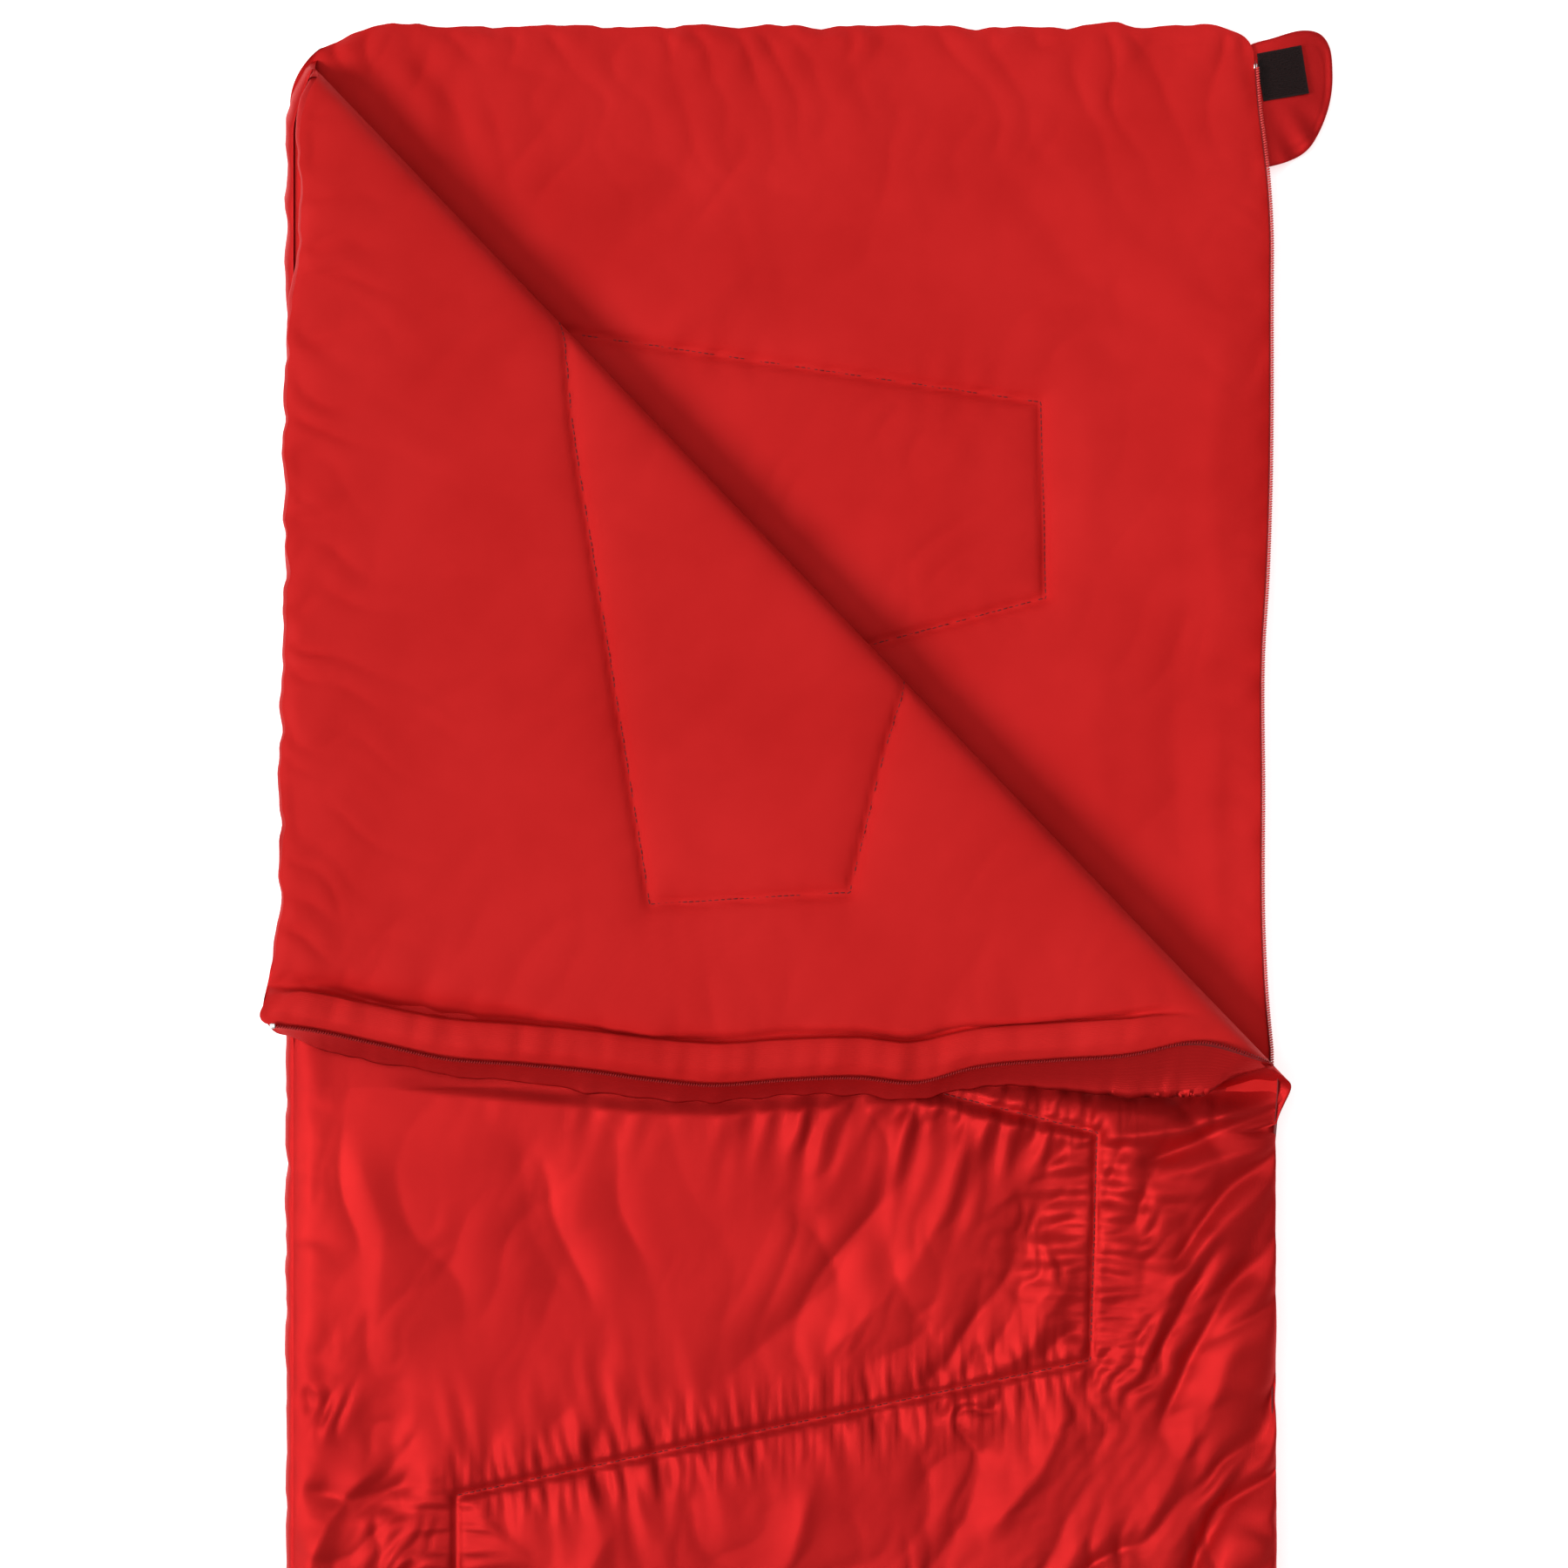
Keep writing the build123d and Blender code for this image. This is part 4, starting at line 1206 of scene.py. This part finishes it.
stop_at, stop_size = box_middle("zip_top_stop_lower")
stop_at -= (11 * MM, 0, 5 * MM)
lower_stop = new_mesh("lower_top_stop", *rounded_block(stop_at, stop_size * 1.05))
stop_at, stop_size = box_middle("zip_foot_stop")
foot_stop = new_mesh("foot_zip_stop", *rounded_block(stop_at, stop_size * 1.05))
stop_flat = np.array([right_x - offset, coil_top - stop_gap, coil_high])
stop_at = np.ravel(place_top(*stop_flat))
corner_stop = new_mesh("corner_top_stop", *rounded_block(stop_at, (4.4 * MM, 4.2 * MM, 3.6 * MM)))
print("corner stop at", stop_at.round(4))


# %% [markdown]
# ## The closing tab
# A short flap of shell cloth at the head of the zip holds the slider shut. It is two cloths turned and
# stitched round the edge, with a patch of hook tape. Its outline is a smooth curve through a few chosen
# points, and the cloth is drawn across it between the outline and the middle.

# %% Tab and patches
tab_low, tab_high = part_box("closing_tab")
tab_outline = np.array([(358, 884), (379, 892), (400, 898), (415, 896), (423, 885), (425, 866), (424, 849),
                        (420, 833), (413, 817), (404, 805), (390, 797), (376, 793), (366, 791), (363, 815),
                        (362, 840), (363, 865)]) * MM


def closed_curve(points, per_run=6):
    """A closed smooth curve through points: Catmull-Rom pieces, each a cubic of four neighbours."""
    p0, p1, p2, p3 = (np.roll(points, k, axis=0)[:, None, :] for k in (1, 0, -1, -2))
    t = np.linspace(0, 1, per_run, endpoint=False)[None, :, None]
    curve = 0.5 * (2 * p1 + (p2 - p0) * t + (2 * p0 - 5 * p1 + 4 * p2 - p3) * t * t
                   + (3 * p1 - p0 - 3 * p2 + p3) * t ** 3)
    return curve.reshape(-1, points.shape[1])


def flap(name, outline, z, thickness, rings, ripple):
    """A closed two-sided flap: rings shrink from the outline to its middle, above and below.

    The half thickness at share r of the way out is that of a soft edge, and the ripple lifts both sides.
    """
    edge = closed_curve(outline)
    middle = edge.mean(axis=0)
    share = np.r_[np.linspace(0.06, 0.86, rings), 0.91, 0.95, 0.985, 1.0]
    flat = middle + (edge - middle)[None] * share[:, None, None]
    x, y = flat[..., 0], flat[..., 1]
    lift = ripple(x, y) + 0 * x
    roundness = np.sqrt(np.clip(1 - ((share - 0.9) / 0.1) ** 2, 0, 1))
    half = thickness / 2 * np.where(share < 0.9, 1, roundness)[:, None]
    seam = 0.35 * MM * np.exp(-(((share - 0.86) / 0.02) ** 2))[:, None]
    top = np.dstack([x, y, z + lift + half - seam])
    base = np.dstack([x, y, z + lift - half + seam])
    rows, columns = x.shape
    points = np.vstack([top.reshape(-1, 3), base[:-1].reshape(-1, 3),
                        [[*middle, z + float(ripple(middle[0], middle[1])) + thickness / 2],
                         [*middle, z + float(ripple(middle[0], middle[1])) - thickness / 2]]])
    up = np.arange(rows * columns).reshape(rows, columns)
    down = np.vstack([np.arange((rows - 1) * columns).reshape(rows - 1, columns) + rows * columns, up[-1:]])

    def band(index, flip):
        after = np.roll(index, -1, axis=1)
        cells = np.stack([index[:-1], index[1:], after[1:], after[:-1]], axis=-1).reshape(-1, 4)
        return cells[:, ::-1] if flip else cells

    def cap(ring, pole, flip):
        a, b = ring[::2], ring[1::2]
        cells = np.stack([np.full_like(a, pole), a, b, np.roll(a, -1)], axis=1)
        return cells[:, ::-1] if flip else cells

    last = len(points)
    winding = np.sum(edge[:, 0] * np.roll(edge[:, 1], -1) - np.roll(edge[:, 0], -1) * edge[:, 1]) > 0
    faces = np.vstack([band(up, not winding), band(down, winding), cap(up[0], last - 2, not winding),
                       cap(down[0], last - 1, winding)])
    pattern = np.vstack([flat.reshape(-1, 2), flat[:-1].reshape(-1, 2), middle, middle])
    return new_mesh(name, points, faces, pattern)


def tab_ripple(x, y):
    """Soft folds that fan out from the sewn end, and a slight droop of the free edge."""
    x, y = np.asarray(x), np.asarray(y)
    out = np.clip((x - right_x) / (45 * MM), 0, 1)
    fan = np.sin((y - 0.845) / (7.5 * MM) + 9 * out) * np.clip((0.845 - y) / 0.03, 0, 1)
    cross = np.sin((x + 0.6 * y) / (5.5 * MM)) * np.clip((0.842 - y) / 0.02, 0, 1)
    return out * (1 - 0.6 * out) * (4.8 * fan + 1.8 * cross) * MM - 5.5 * MM * out ** 1.5


tab_z = (tab_low.z + tab_high.z) / 2
closing_flap = flap("closing_tab_cloth", tab_outline, tab_z, tab_high.z - tab_low.z, 16, tab_ripple)

hook_corners = np.array([(366, 879.5), (382, 882.5), (400, 886), (403, 867), (406, 849), (389, 846),
                         (371, 843), (368, 861)]) * MM


def patch_base(corners, z, thickness):
    """A thin four-sided slab from eight rim points, in order, with a flat top."""
    rim = np.asarray(corners)
    top = np.column_stack([rim, np.full(8, z + thickness / 2)])
    base = np.column_stack([rim, np.full(8, z - thickness / 2)])
    middle = rim.mean(axis=0)
    points = np.vstack([top, base, [[*middle, z + thickness / 2], [*middle, z - thickness / 2]]])
    i = np.arange(8)
    j = (i + 1) % 8
    wall = np.stack([i + 8, j + 8, j, i], axis=1)
    top_faces = [[16, k, (k + 1) % 8, (k + 2) % 8] for k in range(0, 8, 2)]
    base_faces = [[17, 8 + (k + 2) % 8, 8 + (k + 1) % 8, 8 + k] for k in range(0, 8, 2)]
    faces = np.vstack([wall, top_faces, base_faces])
    area = np.sum(rim[:, 0] * np.roll(rim[:, 1], -1) - np.roll(rim[:, 0], -1) * rim[:, 1])
    return points, faces if area > 0 else faces[:, ::-1]


def spread_over(corners, pitch, seed):
    """Points on a slightly shaken grid inside a four-cornered patch (corners 0, 2, 4 and 6)."""
    a, b, c, d = (np.asarray(corners)[k] for k in (0, 2, 4, 6))
    across = int(np.linalg.norm(b - a) / pitch)
    down = int(np.linalg.norm(d - a) / pitch)
    p, q = np.meshgrid((np.arange(across) + 0.5) / across, (np.arange(down) + 0.5) / down)
    p, q = 0.03 + 0.94 * p.ravel()[:, None], 0.03 + 0.94 * q.ravel()[:, None]
    points = a * (1 - p) * (1 - q) + b * p * (1 - q) + c * p * q + d * (1 - p) * q
    return points + np.random.default_rng(seed).normal(0, 0.12 * pitch, points.shape)


hook_z = tab_high.z + 1.0 * MM
roots = spread_over(hook_corners, 1.5 * MM, 81)
lean = np.random.default_rng(82).normal(0, 0.35, (len(roots), 2))
stem = np.column_stack([lean, np.ones(len(roots))])
stem /= np.linalg.norm(stem, axis=1)[:, None]
hook_shape = spindle(1.5 * MM, 0.28 * MM)
sideways = np.column_stack([np.ones(len(roots)), np.zeros(len(roots)), -lean[:, 0]])
stubs = copies(hook_shape, np.column_stack([roots, np.full(len(roots), hook_z + 0.9 * MM)]), stem, sideways)
hook_tape = new_mesh("hook_tape_patch", *join([patch_base(hook_corners, hook_z, 0.9 * MM), stubs]),
                     smooth=False)
print("hooks:", len(roots))

# %% [markdown]
# The loop half of the closing patch is a fuzzy rectangle near the turned corner's end. It is a thin slab
# with a pile of short leaning fibres.

# %% Loop patch
loop_low, loop_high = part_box("loop_patch")
loop_middle = np.array([(loop_low.x + loop_high.x) / 2, (loop_low.y + loop_high.y) / 2])
loop_flat = np.array(turn_over(loop_middle[0], loop_middle[1], 0))[:2] - [17 * MM, 15 * MM]
half_w, half_l = 13 * MM, 16.5 * MM
ring = np.array([(-1, 1), (0, 1), (1, 1), (1, 0), (1, -1), (0, -1), (-1, -1), (-1, 0)])
loop_corners = loop_flat + ring * [half_w, half_l]
base_points, base_faces = patch_base(loop_corners, 0.0, 0.8 * MM)
pile_roots = spread_over(loop_corners, 1.5 * MM, 84)
lean = np.random.default_rng(85).normal(0, 0.5, (len(pile_roots), 2))
stem = np.column_stack([lean, np.ones(len(pile_roots))])
stem /= np.linalg.norm(stem, axis=1)[:, None]
sideways = np.column_stack([np.ones(len(pile_roots)), np.zeros(len(pile_roots)), -lean[:, 0]])
pile_points, pile_faces = copies(spindle(1.2 * MM, 0.3 * MM),
                                 np.column_stack([pile_roots, np.full(len(pile_roots), 0.8 * MM)]),
                                 stem, sideways)
loop_points, loop_faces = join([(base_points, base_faces), (pile_points, pile_faces)])
loop_points[:, 2] += top_seam_z + top_satin(loop_points[:, 0], loop_points[:, 1])[:, 2] + 0.8 * MM
loop_tape = new_mesh("loop_tape_patch", np.column_stack(place_top(*loop_points.T)), loop_faces, smooth=False)


# %% [markdown]
# ## The slider
# The slider and its pull are small castings whose shape in the model is right, so they stay and only
# get a better metal.

# %% [markdown]
# ## Materials
# All the cloths are woven. A weave is two sets of fine bands at right angles. They are too fine to see
# one by one from above, but they break up the gloss, so they go into the bump, on the cloth's own flat
# pattern. Slow noise gives the small differences of dye and wear that keep a large red area alive.

# %% Material makers
def make_material(name, color, roughness, **settings):
    """A node material with its even values set on the shader's own sockets."""
    material = bpy.data.materials.new(name)
    material.use_nodes = True
    shader = material.node_tree.nodes["Principled BSDF"]
    shader.inputs["Base Color"].default_value = (*color, 1)
    shader.inputs["Roughness"].default_value = roughness
    for socket, value in settings.items():
        shader.inputs[socket.replace("_", " ")].default_value = value
    material.diffuse_color = (*color, 1)
    return material, material.node_tree, shader


def node(tree, kind, **settings):
    """One node, with its properties and plain input values set by name."""
    made = tree.nodes.new(kind)
    for key, value in settings.items():
        if hasattr(made, key):
            setattr(made, key, value)
        else:
            made.inputs[key.replace("_", " ")].default_value = value
    return made


def mottle(tree, source, scale, low_color, high_color, detail=4.0):
    """A colour that drifts between two shades with soft noise."""
    noise = node(tree, "ShaderNodeTexNoise", Scale=scale, Detail=detail, Roughness=0.55)
    tree.links.new(source, noise.inputs["Vector"])
    ramp = tree.nodes.new("ShaderNodeValToRGB")
    ramp.color_ramp.elements[0].position = 0.35
    ramp.color_ramp.elements[1].position = 0.68
    ramp.color_ramp.elements[0].color = (*low_color, 1)
    ramp.color_ramp.elements[1].color = (*high_color, 1)
    tree.links.new(noise.outputs["Fac"], ramp.inputs["Fac"])
    return ramp.outputs["Color"], noise.outputs["Fac"]


def weave(tree, source, threads_per_metre, strength, distance, crumple_scale, crumple):
    """A bump of two crossed sets of bands, and a softer crumple from noise."""
    warp = node(tree, "ShaderNodeTexWave", bands_direction="X", Scale=threads_per_metre * 0.31416,
                Distortion=0.3)
    weft = node(tree, "ShaderNodeTexWave", bands_direction="Y", Scale=threads_per_metre * 0.31416,
                Distortion=0.3)
    both = node(tree, "ShaderNodeMath", operation="MULTIPLY")
    rough = node(tree, "ShaderNodeTexNoise", Scale=crumple_scale, Detail=5.0, Roughness=0.6)
    mix = node(tree, "ShaderNodeMath", operation="MULTIPLY_ADD")
    mix.inputs[1].default_value = crumple
    bump = node(tree, "ShaderNodeBump", Strength=strength, Distance=distance)
    for made in (warp, weft, rough):
        tree.links.new(source, made.inputs["Vector"])
    tree.links.new(warp.outputs["Fac"], both.inputs[0])
    tree.links.new(weft.outputs["Fac"], both.inputs[1])
    tree.links.new(rough.outputs["Fac"], mix.inputs[0])
    tree.links.new(both.outputs[0], mix.inputs[2])
    tree.links.new(mix.outputs[0], bump.inputs["Height"])
    return bump.outputs["Normal"]


def pattern_source(tree):
    uv = node(tree, "ShaderNodeUVMap")
    uv.uv_map = "pattern"
    return uv.outputs["UV"]


def object_source(tree):
    return node(tree, "ShaderNodeTexCoord").outputs["Object"]


# %% Satin shell, matt lining and wadding
def cloth_material(name, low_color, high_color, roughness, mottle_scale, weave_strength, crumple, **settings):
    material, tree, shader = make_material(name, high_color, roughness, **settings)
    source = pattern_source(tree)
    color, _ = mottle(tree, source, mottle_scale, low_color, high_color)
    tree.links.new(color, shader.inputs["Base Color"])
    tree.links.new(weave(tree, source, 1800, weave_strength, 0.0006, 160.0, crumple), shader.inputs["Normal"])
    return material


satin = cloth_material("satin shell cloth", (0.45, 0.011, 0.012), (0.53, 0.015, 0.015), 0.41, 7.0, 0.22, 1.2,
                       Metallic=0.45, Specular_IOR_Level=0.22)
satin.node_tree.nodes["Principled BSDF"].inputs["Specular Tint"].default_value = (1.0, 0.25, 0.22, 1)
matt = cloth_material("matt lining cloth", (0.54, 0.011, 0.011), (0.62, 0.016, 0.016), 0.66, 6.0, 0.30, 1.0,
                      Specular_IOR_Level=0.20, Sheen_Weight=0.04, Sheen_Roughness=0.5)
matt.node_tree.nodes["Principled BSDF"].inputs["Sheen Tint"].default_value = (1.0, 0.3, 0.25, 1)
matt.node_tree.nodes["Principled BSDF"].inputs["Specular Tint"].default_value = (1.0, 0.4, 0.35, 1)

fibre, tree, shader = make_material("white wadding", (0.85, 0.85, 0.83), 0.9)
color, _ = mottle(tree, object_source(tree), 60.0, (0.74, 0.74, 0.72), (0.9, 0.9, 0.88))
tree.links.new(color, shader.inputs["Base Color"])
tree.links.new(weave(tree, object_source(tree), 400, 0.6, 0.002, 300.0, 3.0), shader.inputs["Normal"])


# %% Threads, zip, metal and hook tape
def small_material(name, low_color, high_color, roughness, scale, strength, distance, **settings):
    """A finish for small pieces: two shades of noise, and a fine bump, on object coordinates."""
    material, tree, shader = make_material(name, high_color, roughness, **settings)
    source = object_source(tree)
    color, fac = mottle(tree, source, scale, low_color, high_color)
    tree.links.new(color, shader.inputs["Base Color"])
    bump = node(tree, "ShaderNodeBump", Strength=strength, Distance=distance)
    tree.links.new(fac, bump.inputs["Height"])
    tree.links.new(bump.outputs["Normal"], shader.inputs["Normal"])
    return material


# Red thread, darkened beyond its own colour as painted shade. It also stands for the shade in the sunk seam
# along each row.
thread = small_material("quilting thread", (0.12, 0.003, 0.004), (0.20, 0.005, 0.006), 0.7, 900.0, 0.4,
                        0.0003)
tape_cloth = small_material("zip tape weave", (0.16, 0.003, 0.004), (0.26, 0.005, 0.006), 0.75, 1500.0, 0.5,
                            0.0003)
# The lower coil's red is lighter than the nylon's own. Part of it is painted highlight, standing for the gloss
# of the plastic.
nylon = small_material("zip coil nylon", (0.66, 0.035, 0.035), (0.80, 0.070, 0.065), 0.35, 700.0, 0.2, 0.0002,
                       Specular_IOR_Level=0.5)
steel = small_material("slider steel", (0.50, 0.50, 0.49), (0.66, 0.66, 0.64), 0.3, 500.0, 0.15, 0.0002,
                       Metallic=1.0)
pull_steel = small_material("pull steel", (0.48, 0.48, 0.47), (0.64, 0.64, 0.62), 0.27, 600.0, 0.15, 0.0002,
                            Metallic=1.0)
aluminium = small_material("stop aluminium", (0.74, 0.74, 0.72), (0.86, 0.86, 0.84), 0.35, 800.0, 0.2, 0.0002,
                           Metallic=1.0)
# The same red nylon in a much darker shade, as painted shade. The coils of the top layer and of the turned
# corner take it, so the line along the hem reads dark.
shaded_coil_nylon = small_material("zip coil nylon, painted shade", (0.22, 0.003, 0.004), (0.34, 0.006, 0.007), 0.5, 700.0, 0.2,
                            0.0002,
                            Specular_IOR_Level=0.2)
hooks = small_material("hook tape", (0.004, 0.0006, 0.0006), (0.016, 0.0015, 0.0015), 0.6, 900.0, 0.3, 0.0003,
                       Specular_IOR_Level=0.2)
loops = small_material("loop tape", (0.016, 0.004, 0.004), (0.040, 0.008, 0.008), 0.85, 900.0, 0.3, 0.0003)

# %% [markdown]
# ## Giving each piece its body, its finish and its place in the model
# A piece that lies on one body of the model rides on that body. Cloth that passes a hinge rides on
# none, and its place is baked into its points.

# %% Finishes, bodies and replaced nodes
PIECES = [
    (bottom_lining_cloth, matt, "lining_cloth", "bottom_layer", ["bottom_lining"]),
    (top_lining_cloth, matt, "lining_cloth", None, ["top_lining", "corner_lining"]),
    (top_cloth, satin, "shell_cloth", "top_layer", ["top_shell"]),
    (corner_cloth, satin, "shell_cloth", "turned_corner", ["corner_shell"]),
    (ground_cloth, satin, "shell_cloth", None, ["bottom_shell", "side_roll_lower", "side_roll_upper"]),
    (bottom_pad, fibre, "wadding", "bottom_layer", ["bottom_wadding"]),
    (top_pad, fibre, "wadding", "top_layer", ["top_wadding"]),
    (corner_pad, fibre, "wadding", "turned_corner", ["corner_wadding"]),
    (bottom_stitches, thread, "thread", "bottom_layer", ["bottom_quilt_stitching"]),
    (top_stitches, thread, "thread", "top_layer", ["top_quilt_stitching"]),
    (corner_stitches, thread, "thread", "turned_corner", ["corner_quilt_stitching"]),
    (lower_tape, tape_cloth, "zip_tape", "bottom_layer", ["zip_tape_lower"]),
    (upper_tape, tape_cloth, "zip_tape", "top_layer", ["zip_tape_upper"]),
    (corner_tape, tape_cloth, "zip_tape", "turned_corner", ["zip_tape_corner"]),
    (lower_coil, nylon, "zip_coil", "bottom_layer", ["zip_coil_lower"]),
    (upper_coil, shaded_coil_nylon, "zip_coil", "top_layer", ["zip_coil_upper"]),
    (corner_coil, shaded_coil_nylon, "zip_coil", "turned_corner", ["zip_coil_corner"]),
    (lower_stop, aluminium, "zip_stop", "bottom_layer", ["zip_top_stop_lower"]),
    (foot_stop, aluminium, "zip_stop", "bottom_layer", ["zip_foot_stop"]),
    (corner_stop, aluminium, "zip_stop", "turned_corner", ["zip_top_stop_corner"]),
    (closing_flap, satin, "shell_cloth", None, ["closing_tab"]),
    (hook_tape, hooks, "hook_tape", "closing_tab", ["hook_patch"]),
    (loop_tape, loops, "loop_tape", "turned_corner", ["loop_patch"])]
for piece, finish, slot_name, body, nodes in PIECES:
    piece.data.materials.append(finish)
    if body:
        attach(piece, body)
    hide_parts(*nodes)
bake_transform(top_lining_cloth)
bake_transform(ground_cloth)
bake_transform(closing_flap)
for name, finish in (("slider_body", steel), ("slider_pull", pull_steel)):
    for slot_of in frame["nodes"][name].material_slots:
        slot_of.material = finish

# %% [markdown]
# ## Floor, light and camera
# The bag lies on a pale floor under even studio light: a bright room all round, and a large soft lamp
# to the upper left that gives the satin its gloss and draws a gentle shade behind the fold.

# %% Stage
floor_points = [(-12, -12, -0.0005), (12, -12, -0.0005), (12, 12, -0.0005), (-12, 12, -0.0005)]
floor = new_mesh("studio_floor", floor_points, [[0, 1, 2, 3]])
paper, _, _ = make_material("pale floor", (0.90, 0.90, 0.90), 0.9, Emission_Strength=0.62)
paper.node_tree.nodes["Principled BSDF"].inputs["Emission Color"].default_value = (1, 1, 1, 1)
floor.data.materials.append(paper)

world = bpy.data.worlds.new("studio")
world.use_nodes = True
world.node_tree.nodes["Background"].inputs["Color"].default_value = (1, 1, 1, 1)
world.node_tree.nodes["Background"].inputs["Strength"].default_value = 0.15
bpy.context.scene.world = world


def soft_sun(name, heading, height, spread, strength):
    """A sun with a wide disc, so that its shade is soft: heading is the compass side that it stands on,
    counter-clockwise from +X, and height its angle above the floor, all in degrees."""
    data = bpy.data.lights.new(name, "SUN")
    data.angle = math.radians(spread)
    data.energy = strength
    lamp = bpy.data.objects.new(name, data)
    bpy.context.scene.collection.objects.link(lamp)
    lamp.rotation_euler = (math.radians(90 - height), 0, math.radians(heading + 90))
    return lamp


soft_sun("key", 194, 45, 22, 2.15)
soft_sun("softbox", 120, 84, 50, 1.12)

camera_data = bpy.data.cameras.new("camera")
camera_height, seen_width = 3.0, 1.195
camera_data.sensor_width = 36
camera_data.lens = 36 * camera_height / seen_width
camera = bpy.data.objects.new("camera", camera_data)
bpy.context.scene.collection.objects.link(camera)
camera.location = (0.003, 0.319, camera_height + 0.035)
camera.rotation_euler = (0, 0, 0)
bpy.context.scene.camera = camera
bpy.context.scene.view_settings.view_transform = "Standard"
